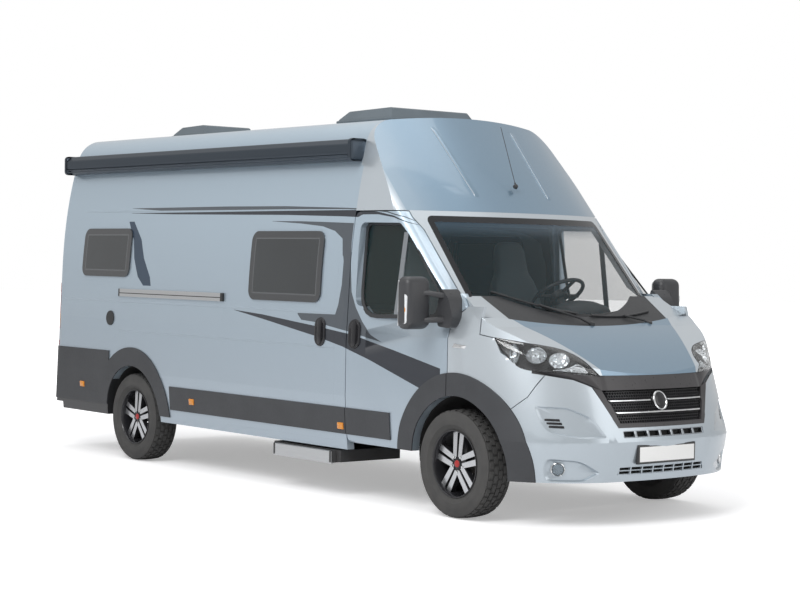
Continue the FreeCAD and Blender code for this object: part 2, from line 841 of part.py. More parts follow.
def wings(lamp):
    wing_x = CAB_FRONT_X + DOOR_GAP
    outline = [
        (wing_x, 270),
        (wing_x, CAB_BELT_Z - 0.6 * DOOR_GAP),
        (HINGE_X - 14 + 2 * DOOR_GAP, DOOR_NOSE_Z),
        (HINGE_X - 14 + 2 * DOOR_GAP, DOOR_NOSE_Z + 8),
        (2448, DOOR_NOSE_Z + 8),
        (2448, 1203),
        (2548, 1185),
        (2700, 1113),
        (2852, 1020),
        (2852, 985),
        (2790, 825),
        (2590, 630),
        (2300, 270),
    ]
    skin = shell(wing_form, 0, PANEL)
    wing = skin.common(side_prism(outline, -WIDE, -500)).cut(ARCHES)
    wing = wing.cut(lamp)
    keep("front_wings", pair(biggest(wing)))


def cowl():
    """The black panel between windscreen and bonnet, and the wipers parked over it."""
    plate = nose_slab(COWL_DROP, COWL_DROP + COWL_THICK)
    plate = plate.common(bonnet_plan(-6)).cut(screen_prism(-FIT))
    plate = plate.cut(box(1000, CAB_FRONT_X + 40, -WIDE, WIDE, 0, HIGH))
    trough = box(2100, 3000, -WIDE, WIDE, 0, HIGH).common(wing_form(PANEL + FIT))
    door = door_space()
    keep("cowl", biggest(plate.common(trough).cut(door).cut(mirrored(door))))
    keep("wipers", group([wiper(-80, -690, -20), wiper(560, 20, 690)]))


def screen_x(y, z):
    """How far forward the windscreen reaches at a place seen from the front."""
    bow = SCREEN_PLAN_R - math.sqrt(SCREEN_PLAN_R**2 - y**2)
    return SCREEN_X + (SCREEN_Z - z) / SLOPE - bow


def wiper(pivot_y, y0, y1):
    """A parked wiper: a pivot on the cowl, an arm, and a blade curved along the glass."""
    points = []
    for y in (y0, (y0 + y1) / 2, y1):
        z = WIPER_Z + WIPER_RISE * (y / 700) ** 2
        points.append(V(screen_x(y, z) + WIPER_R + 8, y, z))
    arc = Part.Arc(*points)
    start = arc.value(arc.FirstParameter)
    ring = Part.Circle(start, arc.tangent(arc.FirstParameter)[0], WIPER_R).toShape()
    blade = Part.Wire(arc.toShape()).makePipe(Part.Face(Part.Wire(ring)))
    back = BONNET_REAR_R - math.sqrt(BONNET_REAR_R**2 - pivot_y**2)
    x = BONNET_REAR_X - back - 45
    cowl_z = BONNET_REAR_Z - COWL_DROP + (BONNET_REAR_X - x) * bonnet_fall()
    pivot = rod((x, pivot_y, cowl_z + 9), (x, pivot_y, cowl_z + 50), 15)
    arm = rod((x, pivot_y, cowl_z + 40), tuple(points[1]), WIPER_R)
    return fuse([blade, pivot, arm])


def nose_slab(top, bottom):
    """A plate under the bonnet line, between two drops."""
    return bonnet_prism(top).cut(bonnet_prism(bottom))


def grille_outline(grow):
    right = [
        (GRILLE_TOP_HALF + grow, GRILLE_TOP_Z + grow),
        (GRILLE_TOP_HALF - 30 + grow, GRILLE_TOP_Z - 60),
        (GRILLE_FOOT_HALF + grow, GRILLE_FOOT_Z - grow),
    ]
    return symmetric(right)


def fog_lamp():
    lens = Part.makeCylinder(FOG_R, 260, V(2800, -FOG_Y, FOG_Z), V(1, 0, 0))
    return biggest(lens.common(shell(nose_form, 8, 60)))


def bumper(lamp, fog):
    """The bumper cover with its openings, and the grilles that fill them."""
    outline = [
        (2600, BUMPER_BOTTOM_Z),
        (3400, BUMPER_BOTTOM_Z),
        (3400, GRILLE_TOP_Z + 10),
        (3016, 938),
        (2960, 948),
        (2856, 978),
        (2794, 822),
        (2594, 626),
    ]
    cover = NOSE.common(side_prism(outline, -WIDE, WIDE)).cut(ARCHES)
    cover = cover.cut(front_prism(grille_outline(0), 2700, 3400, [20, 40, 40, 40, 40, 20]))
    slot_z = (SLOT_Z - SLOT_H / 2, SLOT_Z + SLOT_H / 2)
    cover = cover.cut(front_prism(rect(-SLOT_HALF, SLOT_HALF, *slot_z), 2700, 3400, 6))
    intake = symmetric([(INTAKE_HALF - 20, INTAKE_TOP_Z), (INTAKE_HALF, INTAKE_FOOT_Z)])
    cover = cover.cut(front_prism(intake, 2700, 3400, 8))
    hole = Part.makeCylinder(FOG_R + FIT, 700, V(2700, -FOG_Y, FOG_Z), V(1, 0, 0))
    cover = cover.cut(hole).cut(mirrored(hole)).cut(lamp).cut(mirrored(lamp))
    keep("front_bumper", biggest(cover))
    upper = grille().cut(lamp).cut(mirrored(lamp))
    keep("grilles", group([biggest(upper)] + lower_grilles(intake)))


def grille():
    """The upper grille: a deep frame crossed by slim bars."""
    form = shell(nose_form, 2, GRILLE_DEPTH)
    radii = [20, 40, 40, 40, 40, 20]
    panel = form.common(front_prism(grille_outline(-FIT), 2700, 3400, radii))
    low = GRILLE_FOOT_Z + 30
    high = GRILLE_TOP_Z - 75
    pitch = (high - low) / GRILLE_BARS
    for i in range(GRILLE_BARS):
        z0 = low + i * pitch
        half = GRILLE_FOOT_HALF - 25 + i * 16
        panel = panel.cut(box(2700, 3400, -half, half, z0, z0 + pitch - 14))
    return biggest(panel)


def lower_grilles(intake):
    """The ribbed slot row and the intake mesh below the plate."""
    form = shell(nose_form, 3, GRILLE_DEPTH)
    slot_z = (SLOT_Z - SLOT_H / 2 + FIT, SLOT_Z + SLOT_H / 2 - FIT)
    row = form.common(front_prism(rect(FIT - SLOT_HALF, SLOT_HALF - FIT, *slot_z), 2700, 3400, 6))
    pitch = (2 * SLOT_HALF - SLOT_RIB) / SLOTS
    for i in range(SLOTS):
        y0 = SLOT_RIB - SLOT_HALF + i * pitch
        row = row.cut(box(2700, 3400, y0, y0 + pitch - SLOT_RIB, SLOT_Z - 15, SLOT_Z + 15))
    net = form.common(front_prism(intake, 2700, 3400, 8))
    middle = (INTAKE_TOP_Z + INTAKE_FOOT_Z) / 2
    for i in range(SLOTS):
        y0 = SLOT_RIB - SLOT_HALF + i * pitch
        for z0 in (middle + 4, middle - 19):
            net = net.cut(box(2700, 3400, y0, y0 + pitch - SLOT_RIB, z0, z0 + 15))
    return [biggest(row), biggest(net)]


def tail_opening(grow):
    """The rear doorway, narrowing with the body above the belt, grown by a gap."""
    right = [
        (REAR_DOOR_TOP_HALF + grow, REAR_DOOR_TOP_Z + grow),
        (REAR_DOOR_HALF + grow, REAR_DOOR_SHOULDER_Z),
        (REAR_DOOR_HALF + grow, REAR_DOOR_BOTTOM_Z - grow),
    ]
    return front_prism(symmetric(right), -3400, CORNER_POST_X - FIT, [60, 0, 20, 20, 0, 60])


def tail():
    """The rear frame, its hinged doors, glass, lamps and bumper."""
    behind = box(-3400, CORNER_POST_X - FIT, -WIDE, WIDE, 400, HIGH)
    frame = CABIN.common(behind).cut(tail_opening(DOOR_GAP))
    around = box(-3400, CORNER_POST_X - FIT, -WIDE, WIDE, 560, 2560)
    seat = shell(cabin_form, WALL + FIT, WALL + FIT + REBATE).common(around)
    tie = shell(cabin_form, WALL - 1, WALL + FIT + 1).common(around)
    frame = fuse([frame, tie.cut(tail_opening(DOOR_GAP)), seat.cut(tail_opening(-REBATE_LAP))])
    lamp = shell(cabin_form, -4, 34)
    lamp_box = box(-3400, -3035, -WIDE, -TAIL_LAMP_HALF, *TAIL_LAMP_Z)
    lamp = biggest(lamp.common(lamp_box))
    keep("rear_frame", biggest(frame.cut(lamp).cut(mirrored(lamp))))
    keep("tail_lamps", pair(lamp))
    halves = box(-3400, 0, -WIDE, -DOOR_GAP / 2, 0, HIGH)
    door = CABIN.common(tail_opening(0)).common(halves)
    y0, y1, z0, z1 = REAR_GLASS
    glass_rect = front_prism(rect(-y1, -y0, z0, z1), -3400, -2900, REAR_GLASS_R)
    both("rear_door", biggest(door.cut(glass_rect)))
    both("rear_glass", shell(cabin_form, 0, GLASS).common(glass_rect))
    rear_bumper()


def rear_bumper():
    """Quarter claddings that wrap the rear corners, joined by a step."""
    wrap = shell(cabin_form, -TRIM_PROUD, -FIT)
    wrap = wrap.common(
        box(-3400, REAR_BUMPER_FRONT_X, -WIDE, WIDE, REAR_BUMPER_BOTTOM_Z, REAR_BUMPER_TOP_Z)
    )
    wrap = wrap.cut(box(-3400, -2900, -REAR_DOOR_HALF - 20, REAR_DOOR_HALF + 20, 400, HIGH))
    wrap = wrap.cut(ARCHES)
    step = box(REAR_X, -3100, -REAR_DOOR_HALF - 60, REAR_DOOR_HALF + 60, 430, REAR_STEP_Z)
    edges = [e for e in step.Edges if all(abs(v.X - REAR_X) < 1 for v in e.Vertexes)]
    step = step.makeFillet(22, edges).cut(cabin_form(-FIT))
    keep("rear_bumper", fuse([wrap, biggest(step)]))


def awning():
    """The cassette awning along the right cant, with its end caps."""
    profile = [
        (-CANT_HALF + 60, AWNING_TOP_Z),
        (-AWNING_OUT + 45, AWNING_TOP_Z),
        (-AWNING_OUT, AWNING_TOP_Z - 40),
        (-AWNING_OUT, AWNING_BOTTOM_Z + 45),
        (-AWNING_OUT + 55, AWNING_BOTTOM_Z),
        (-CANT_HALF + 60, AWNING_BOTTOM_Z),
    ]
    case = front_prism(profile, AWNING_REAR_X, AWNING_FRONT_X, [0, 30, 25, 30, 30, 0])
    keep("awning", biggest(case.cut(cabin_form(-FIT))))


def floor():
    """The floor and the firewall, notched for the wheel housings."""
    bottom = FLOOR_Z - FLOOR_THICK
    main_part = box(CORNER_POST_X, FIREWALL_X, -WIDE, WIDE, bottom, FLOOR_Z)
    tail_part = box(-3300, CORNER_POST_X, -WIDE, WIDE, bottom, FLOOR_Z)
    slab = cabin_form(WALL + FIT).common(main_part)
    slab = slab.fuse(cabin_form(WALL + REBATE + 2 * FIT).common(tail_part))
    for axle_x, radius, inner_y in (
        (FRONT_ARCH_X, FRONT_ARCH_R, LINER_INNER_Y),
        (REAR_AXLE_X, REAR_ARCH_R, REAR_LINER_INNER_Y),
    ):
        reach = radius + LINER + FIT
        notch = box(axle_x - reach, axle_x + reach, -WIDE, FIT - inner_y, 0, HIGH)
        slab = slab.cut(notch).cut(mirrored(notch))
    wall = box(
        FIREWALL_X,
        FIREWALL_X + FIREWALL_THICK,
        FIT - LINER_INNER_Y,
        LINER_INNER_Y - FIT,
        bottom,
        FIREWALL_TOP_Z,
    )
    arch_top = FRONT_ARCH_Z + FRONT_ARCH_R + LINER + FIT
    upper = box(FIREWALL_X, FIREWALL_X + FIREWALL_THICK, -940, 940, arch_top, FIREWALL_TOP_Z)
    keep("floor_pan", fuse([biggest(slab), wall, upper]))


def housings():
    """Inner wheel housings: arched tunnels closed on their inner side."""
    front = housing(FRONT_ARCH_X, FRONT_ARCH_R, FRONT_ARCH_Z, LINER_INNER_Y)
    front = front.common(wing_form(PANEL + FIT))
    door_side = shell(side_form, -FIT, WALL + DOOR_GAP)
    front = front.cut(door_side.common(box(0, CAB_FRONT_X + DOOR_GAP, -WIDE, WIDE, 0, HIGH)))
    rear = housing(REAR_AXLE_X, REAR_ARCH_R, REAR_ARCH_Z, REAR_LINER_INNER_Y)
    rear = rear.common(cabin_form(WALL + FIT))
    keep("wheel_housings", group([front, rear, mirrored(front), mirrored(rear)]))


def housing(axle_x, radius, z, inner_y):
    """One right-hand housing."""
    outer = arch_tool(axle_x, radius + LINER, z, -LINER_OUTER_Y, -inner_y, LINER_BOTTOM_Z)
    unit = outer.cut(arch_tool(axle_x, radius, z, -LINER_OUTER_Y - 5, -inner_y - LINER))
    return unit.cut(box(axle_x - 70, axle_x + 70, -inner_y - LINER - 1, 0, 0, TYRE_R + 75))


def chassis():
    """Two long rails under the floor, tied by crossmembers."""
    top = FLOOR_Z - FLOOR_THICK
    rail = box(RAIL_REAR_X, RAIL_FRONT_X, -RAIL_Y - RAIL_W, -RAIL_Y, top - RAIL_H, top)
    members = [rail, mirrored(rail)]
    for x in CROSS_X:
        members.append(box(x - 35, x + 35, -RAIL_Y, RAIL_Y, top - RAIL_H + 20, top - 20))
    x0, x1, z1 = SLAM_PANEL
    post = box(x0, x1, -RAIL_Y - RAIL_W, -RAIL_Y, top, z1)
    beam = box(x0, x1, -RAIL_Y - 1, RAIL_Y + 1, z1 - 40, z1)
    under_bonnet = nose_form(PANEL + FIT)
    for y in (-300, 300):
        buffer = Part.makeCylinder(14, 300, V((x0 + x1) / 2, y, z1 - 20), V(0, 0, 1))
        members.append(buffer.common(under_bonnet))
    keep("chassis_frame", fuse(members + [post, mirrored(post), beam]))


def tyre():
    """A tyre about the x axis."""
    half = TYRE_W / 2
    bead = RIM_W / 2 - TYRE_BEAD_IN
    bead_r = RIM_R - RIM_LIP + FIT
    shoulder = TYRE_R - TYRE_SHOULDER
    p = [
        V(-bead, 0, RIM_R + 2),
        V(-half, 0, (bead_r + shoulder) / 2 + 12),
        V(-half + 8, 0, shoulder),
        V(-half + 16, 0, TYRE_R - 14),
        V(-half + 36, 0, TYRE_R - 2),
        V(0, 0, TYRE_R),
    ]
    q = [V(-v.x, 0, v.z) for v in p]
    edges = [
        Part.Arc(p[0], p[1], p[2]).toShape(),
        Part.Arc(p[2], p[3], p[4]).toShape(),
        Part.Arc(p[4], p[5], q[4]).toShape(),
        Part.Arc(q[4], q[3], q[2]).toShape(),
        Part.Arc(q[2], q[1], q[0]).toShape(),
        Part.LineSegment(q[0], V(bead, 0, bead_r)).toShape(),
        Part.LineSegment(V(bead, 0, bead_r), V(-bead, 0, bead_r)).toShape(),
        Part.LineSegment(V(-bead, 0, bead_r), p[0]).toShape(),
    ]
    return Part.Face(Part.Wire(edges)).revolve(V(0, 0, 0), V(1, 0, 0), 360)


def rim():
    """A five twin-spoke wheel about the x axis, its outer face towards +X."""
    half = RIM_W / 2
    seat_r = RIM_R - RIM_LIP
    well_r = seat_r - RIM_WELL
    outline = [
        (-half, seat_r - RIM_WALL),
        (-half, RIM_R),
        (-half + 7, RIM_R),
        (-half + 10, seat_r),
        (-half + 50, seat_r),
        (-half + 62, well_r),
        (half - 70, well_r),
        (half - 58, seat_r),
        (half - 10, seat_r),
        (half - 7, RIM_R),
        (half, RIM_R),
        (half, seat_r - RIM_WALL),
        (half - 55, seat_r - RIM_WALL),
        (half - 68, well_r - RIM_WALL),
        (-half + 60, well_r - RIM_WALL),
        (-half + 48, seat_r - RIM_WALL),
    ]
    barrel = rounded_face(outline, "xz").revolve(V(0, 0, 0), V(1, 0, 0), 360)
    face_x = half - FACE_SET
    hub = Part.makeCylinder(HUB_R, 60, V(face_x - 55, 0, 0), V(1, 0, 0))
    parts = [barrel, hub]
    for i in range(SPOKES):
        for side in (-1, 1):
            spoke = spoke_blade(face_x, seat_r - 3, side)
            spoke.rotate(V(0, 0, 0), V(1, 0, 0), i * 360.0 / SPOKES)
            parts.append(spoke)
    whole = fuse(parts)
    return whole.cut(Part.makeCylinder(HUB_BORE_R, 400, V(-200, 0, 0), V(1, 0, 0)))


def spoke_blade(face_x, reach, side):
    """One of a twin spoke's blades, leaning away from its partner."""
    root = SPOKE_SPREAD * side
    tip = root * 3.2
    half = SPOKE_W / 2
    reach = math.sqrt(reach**2 - (abs(tip) + half) ** 2)
    outline = [
        V(0, root - half, HUB_R - 12),
        V(0, root + half, HUB_R - 12),
        V(0, tip + half * 0.8, reach),
        V(0, tip - half * 0.8, reach),
    ]
    face = Part.Face(Part.makePolygon(outline + [outline[0]]))
    face.translate(V(face_x - SPOKE_THICK, 0, 0))
    return face.extrude(V(SPOKE_THICK, 0, 0))


def wheels():
    """Four tyres on their rims."""
    tyre_body = tyre()
    rim_body = rim()
    for end, axle_x, track in (("front", FRONT_AXLE_X, FRONT_TRACK), ("rear", REAR_AXLE_X, REAR_TRACK)):
        for hand, side in (("right", -1), ("left", 1)):
            for name, body in (("tyre", tyre_body), ("rim", rim_body)):
                turned = body.copy()
                turned.rotate(V(0, 0, 0), V(0, 0, 1), 90 * side)
                turned.translate(V(axle_x, side * track / 2, TYRE_R))
                keep(name + "_" + end + "_" + hand, turned)


def knuckles():
    """Front uprights that turn about their kingpins and carry the wheels."""
    pin_y = -(FRONT_TRACK / 2 - KINGPIN_IN)
    hub_y = -(FRONT_TRACK / 2 + RIM_W / 2 - FACE_SET - 58)
    half = UPRIGHT / 2
    foot_z = ARM_Z + ARM_R + ARM_CLEARANCE
    upright = Part.makeCylinder(half, 490 - foot_z, V(FRONT_AXLE_X, pin_y, foot_z), V(0, 0, 1))
    stub = cylinder_y(FRONT_AXLE_X, TYRE_R, 30, hub_y, pin_y)
    spigot = cylinder_y(FRONT_AXLE_X, TYRE_R, HUB_BORE_R - FIT, hub_y - 40, hub_y)
    flange = cylinder_y(FRONT_AXLE_X, TYRE_R, HUB_R - 10, hub_y + FIT, hub_y + 24)
    both("knuckle", fuse([upright, stub, spigot, flange]))


def front_suspension():
    """The front crossmember, lower arms and struts."""
    pin_y = FRONT_TRACK / 2 - KINGPIN_IN
    beam = box(FRONT_AXLE_X - 60, FRONT_AXLE_X + 60, -400, 400, 250, 330)
    post = box(FRONT_AXLE_X - 40, FRONT_AXLE_X + 40, -400, -340, 330, 450 - FIT)
    web = box(FRONT_AXLE_X - 40, FRONT_AXLE_X + 40, -510, -340, 430, 450 - FIT)
    parts = [beam, post, web, mirrored(post), mirrored(web)]
    for side in (-1, 1):
        parts.append(rod((FRONT_AXLE_X, side * 380, 285), (FRONT_AXLE_X, side * pin_y, ARM_Z), ARM_R))
    arms = fuse(parts)
    top = FRONT_ARCH_Z + FRONT_ARCH_R - 4
    strut = Part.makeCylinder(STRUT_R, top - 480, V(FRONT_AXLE_X, -STRUT_Y, 480), V(0, 0, 1))
    keep("front_suspension", group([arms, strut, mirrored(strut)]))


def rear_axle():
    """The beam axle on its leaf springs, with a spigot for each wheel."""
    hub_y = REAR_TRACK / 2 + RIM_W / 2 - FACE_SET - 58
    tube = cylinder_y(REAR_AXLE_X, TYRE_R, AXLE_R, -hub_y, hub_y)
    spigot = cylinder_y(REAR_AXLE_X, TYRE_R, HUB_BORE_R - FIT, -hub_y - 40, hub_y + 40)
    parts = [tube, spigot]
    eye_z = FLOOR_Z - FLOOR_THICK - RAIL_H + 20 + SPRING_THICK / 2
    parts.append(leaf_spring(-SPRING_Y))
    for x in (REAR_AXLE_X - SPRING_HALF + 15, REAR_AXLE_X + SPRING_HALF - 15):
        parts.append(cylinder_y(x, eye_z - 4, 10, -SPRING_Y, FIT - RAIL_Y - RAIL_W - 2 * FIT))
    parts += [mirrored(part) for part in parts[2:]]
    keep("rear_axle", fuse(parts))


def leaf_spring(y):
    """A bowed leaf whose eyes hang from the frame."""
    eye_z = FLOOR_Z - FLOOR_THICK - RAIL_H + 20
    low = TYRE_R + AXLE_R - 6
    x = REAR_AXLE_X
    outline = [V(x - SPRING_HALF, 0, eye_z), V(x, 0, low), V(x + SPRING_HALF, 0, eye_z)]
    upper = [v + V(0, 0, SPRING_THICK) for v in outline]
    edges = [
        Part.Arc(*outline).toShape(),
        Part.LineSegment(outline[2], upper[2]).toShape(),
        Part.Arc(*reversed(upper)).toShape(),
        Part.LineSegment(upper[0], outline[0]).toShape(),
    ]
    face = Part.Face(Part.Wire(edges))
    face.translate(V(0, y - SPRING_W / 2, 0))
    return face.extrude(V(0, SPRING_W, 0))


def underbody():
    """What shows from below: engine, tank, exhaust and step."""
    x0, x1, half, z0, z1 = ENGINE
    keep("engine_block", box(x0, x1, -half, half, z0, z1))
    x0, x1, half, z0 = TANK
    tank = box(x0, x1, -half, half, z0, FLOOR_Z - FLOOR_THICK - FIT)
    keep("fuel_tank", tank.makeFillet(30, [e for e in tank.Edges if abs(e.BoundBox.ZLength) < 1]))
    y, z = EXHAUST_Y, EXHAUST_Z
    pipe = rod((-1150, y, z), (1500, y, z), 30)
    muffler = rod((-600, y, z), (0, y, z), 80)
    keep("exhaust", fuse([pipe, muffler]))
    x0, x1 = STEP
    tray = box(x0, x1, -STEP_OUT + 20, -STEP_IN, STEP_Z, STEP_Z + STEP_THICK)
    lip = box(x0, x1, -STEP_OUT, -STEP_OUT + 22, STEP_Z - 22, STEP_Z + 62)
    keep("entry_step", fuse([tray, lip]))
    top = FLOOR_Z - FLOOR_THICK - RAIL_H
    house = box(x0 - 50, x1 + 50, -985, -RAIL_Y - RAIL_W + 60, STEP_Z - 12, STEP_Z + 72)
    cavity = box(x0 - 5, x1 + 5, -1100, -STEP_IN + 40, STEP_Z - 13, STEP_Z + STEP_THICK + 6)
    house = house.cut(cavity)
    mount = box(x0, x1, -RAIL_Y - RAIL_W + 10, -RAIL_Y - 10, STEP_Z + 72, top - FIT)
    runner = box(x0 + 40, x1 - 40, -960, -STEP_IN - 40, STEP_Z + STEP_THICK + FIT, STEP_Z + 40)
    keep("step_housing", fuse([house, mount, runner]))


def cab():
    """Dashboard, steering wheel and the two cab seats."""
    back_x = FIREWALL_X - FIT
    outline = [
        (1840, 900),
        (1790, 1140),
        (1850, 1235),
        (back_x, 1262),
        (back_x, 860),
        (1960, 860),
    ]
    dash = side_prism(outline, -DASH_HALF, DASH_HALF, [40, 50, 50, 0, 0, 40])
    axis = V(-math.sin(math.radians(WHEEL_TILT)), 0, math.cos(math.radians(WHEEL_TILT)))
    centre = V(*WHEEL_CENTRE)
    foot = centre - axis * 40
    column = Part.makeCylinder(32, 320, foot - axis * 320, axis)
    keep("dashboard", fuse([dash, column]))
    ring = Part.makeTorus(WHEEL_RING_R, WHEEL_TUBE_R, centre, axis)
    boss = Part.makeCylinder(70, 45, foot + axis * FIT, axis)
    spokes = [ring, boss]
    across = V(0, 1, 0)
    down = axis.cross(across)
    for way in (across, across * -1, down * -1):
        spokes.append(Part.makeCylinder(13, WHEEL_RING_R, centre - axis * 8, way))
    keep("steering_wheel", fuse(spokes))
    keep("cab_seats", pair(seat()))


def seat():
    """A cab seat with a bucket cushion, high back and built-in headrest."""
    y0 = -SEAT_Y - SEAT_WIDTH / 2
    y1 = -SEAT_Y + SEAT_WIDTH / 2
    x = SEAT_X
    base = box(x - 20, x + 380, y0 + 60, y1 - 60, FLOOR_Z + FIT, 970)
    cushion = [(x - 60, 940), (x + 480, 960), (x + 480, 1075), (x + 60, 1050)]
    cushion = side_prism(cushion, y0, y1, [30, 30, 40, 20])
    back = [(x - 60, 980), (x + 90, 1010), (x - 20, 1600), (x - 150, 1600)]
    back = side_prism(back, y0 + 15, y1 - 15, [30, 30, 30, 30])
    head = [(x - 140, 1560), (x - 30, 1560), (x - 60, 1850), (x - 165, 1850)]
    head = side_prism(head, -SEAT_Y - 140, -SEAT_Y + 140, [20, 20, 35, 35])
    return fuse([base, cushion, back, head])


def living_space():
    """Kitchen, wardrobe, bench and bed base, and the cushions on them."""
    x0, x1, y0, y1, top = KITCHEN
    lift = FLOOR_Z + FIT
    kitchen = box(x0, x1, y0, y1, lift, top)
    x0, x1, y0, y1, top = WARDROBE
    wardrobe = box(x0, x1, y0, y1, lift, top)
    x0, x1, y0, y1, top = BENCH
    bench = box(x0, x1, y0, y1, lift, top)
    seat_pad = box(x0 + 5, x1 - 5, y0 + 5, y1 - 5, top + FIT, top + CUSHION)
    x0, x1, top = BED
    arch_top = REAR_ARCH_Z + REAR_ARCH_R + LINER
    base = box(x0 + 30, x1, -900, 900, max(top - 60, arch_top), top)
    legs = [box(x0 + 30, x1, side * 520 - 20, side * 520 + 20, lift, top - 60) for side in (-1, 1)]
    bed = fuse([base] + legs)
    keep("furniture", group([kitchen, wardrobe, bench, bed]))
    mattress = box(x0 + 35, x1 - 5, -900, 900, top + FIT, top + CUSHION)
    keep("cushions", group([seat_pad, mattress]))


def side_fittings():
    """The sliding door's rail and the wall vent."""
    rail = shell(cabin_form, -RAIL_PROUD, -FIT).common(
        box(SLIDE_RAIL_REAR_X, SLIDE_REAR_X - FIT, -WIDE, 0, *SLIDE_RAIL_Z)
    )
    disc = cylinder_y(VENT_X, VENT_Z, VENT_R, -WIDE, 0)
    vent = shell(cabin_form, -VENT_PROUD, -FIT).common(disc)
    keep("side_fittings", group([rail, vent]))


NODES = {}


def keep(name, shape):
    """Hold a piece until it is written."""
    NODES[name] = shape


def main():
    side_walls()
    sliding_door()
    side_windows()
    cab_doors()
    side_trims()
    roof()
    hatches()
    windscreen()
    front_end()
    tail()
    awning()
    floor()
    housings()
    chassis()
    wheels()
    knuckles()
    front_suspension()
    rear_axle()
    underbody()
    cab()
    living_space()
    side_fittings()
    os.makedirs("parts", exist_ok=True)
    for name, shape in NODES.items():
        shape.exportStep("parts/" + name + ".step")
        print(name, len(shape.Solids), round(shape.Volume / 1e6, 2), shape.isValid())


main()
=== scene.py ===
"""Looks for a high-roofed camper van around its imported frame."""

import json
import math

import bmesh
import bpy
from mathutils import Matrix, Quaternion, Vector
from mathutils.bvhtree import BVHTree

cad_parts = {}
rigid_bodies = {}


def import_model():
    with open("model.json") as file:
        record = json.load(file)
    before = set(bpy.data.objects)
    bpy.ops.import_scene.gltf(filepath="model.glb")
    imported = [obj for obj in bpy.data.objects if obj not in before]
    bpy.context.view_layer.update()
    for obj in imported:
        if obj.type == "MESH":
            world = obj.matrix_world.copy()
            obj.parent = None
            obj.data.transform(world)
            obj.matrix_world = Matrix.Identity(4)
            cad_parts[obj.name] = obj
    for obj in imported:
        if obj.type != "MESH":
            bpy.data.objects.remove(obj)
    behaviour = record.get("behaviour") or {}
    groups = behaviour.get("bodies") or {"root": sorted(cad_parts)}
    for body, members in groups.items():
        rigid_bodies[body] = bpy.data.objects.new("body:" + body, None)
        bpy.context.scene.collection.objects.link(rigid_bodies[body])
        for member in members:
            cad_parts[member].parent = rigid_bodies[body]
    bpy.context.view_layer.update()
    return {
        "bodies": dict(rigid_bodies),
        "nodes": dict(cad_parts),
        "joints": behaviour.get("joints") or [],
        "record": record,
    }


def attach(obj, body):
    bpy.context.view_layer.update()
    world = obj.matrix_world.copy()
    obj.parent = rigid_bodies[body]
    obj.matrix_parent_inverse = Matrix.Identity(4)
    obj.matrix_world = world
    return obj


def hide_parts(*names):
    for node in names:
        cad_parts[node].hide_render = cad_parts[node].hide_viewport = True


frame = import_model()
NODES = frame["nodes"]

bl_info = {
    "name": "Camper van looks",
    "version": (1, 0, 0),
    "blender": (4, 5, 0),
    "location": "3D View > Sidebar > Camper",
    "description": "Finishes, trim, wheels, lamps and upholstery for the camper van",
    "category": "Object",
}

# Axle places as (x, half track), and the side of each hand
AXLES = {"front": (2.2335, 0.905), "rear": (-1.8015, 0.895)}
AXLE_Z = 0.355
SIDES = {"right": -1, "left": 1}
PLATE_Z = 0.4615
HANDLE_Z = 1.156
# From here outwards a surface counts as the body's side
SIDE_Y = 0.80
WHITE = (1.0, 1.0, 1.0, 1.0)


def tone(r, g, b):
    """An opaque colour."""
    return (r, g, b, 1.0)


def shade(colour, share, lift=0.0):
    """The same colour, darker or lighter."""
    return tone(*(min(1.0, c * share + lift) for c in colour[:3]))


class Field:
    """A shader socket that takes part in Python expressions."""

    def __init__(self, finish, socket):
        self.finish = finish
        self.socket = socket

    def math(self, operation, *others):
        """A Math node with this socket first."""
        return self.finish.math(operation, self, *others)

    def __add__(self, other):
        return self.math("ADD", other)

    def __radd__(self, other):
        return self.finish.math("ADD", other, self)

    def __sub__(self, other):
        return self.math("SUBTRACT", other)

    def __rsub__(self, other):
        return self.finish.math("SUBTRACT", other, self)

    def __mul__(self, other):
        return self.math("MULTIPLY", other)

    def __rmul__(self, other):
        return self.finish.math("MULTIPLY", other, self)

    def __truediv__(self, other):
        return self.math("DIVIDE", other)

    def __rtruediv__(self, other):
        return self.finish.math("DIVIDE", other, self)

    def __abs__(self):
        return self.math("ABSOLUTE")

    def __pow__(self, other):
        return self.math("POWER", other)

    def __gt__(self, other):
        return self.math("GREATER_THAN", other)

    def __lt__(self, other):
        return self.math("LESS_THAN", other)

    def between(self, low, high):
        """1 between two values, 0 elsewhere."""
        return (self > low) * (self < high)

    def ramp(self, low, high):
        """0 below low, 1 above high, and smooth between."""
        return self.finish.add(
            "ShaderNodeMapRange",
            {"Value": self, "From Min": low, "From Max": high},
            interpolation_type="SMOOTHSTEP",
        )


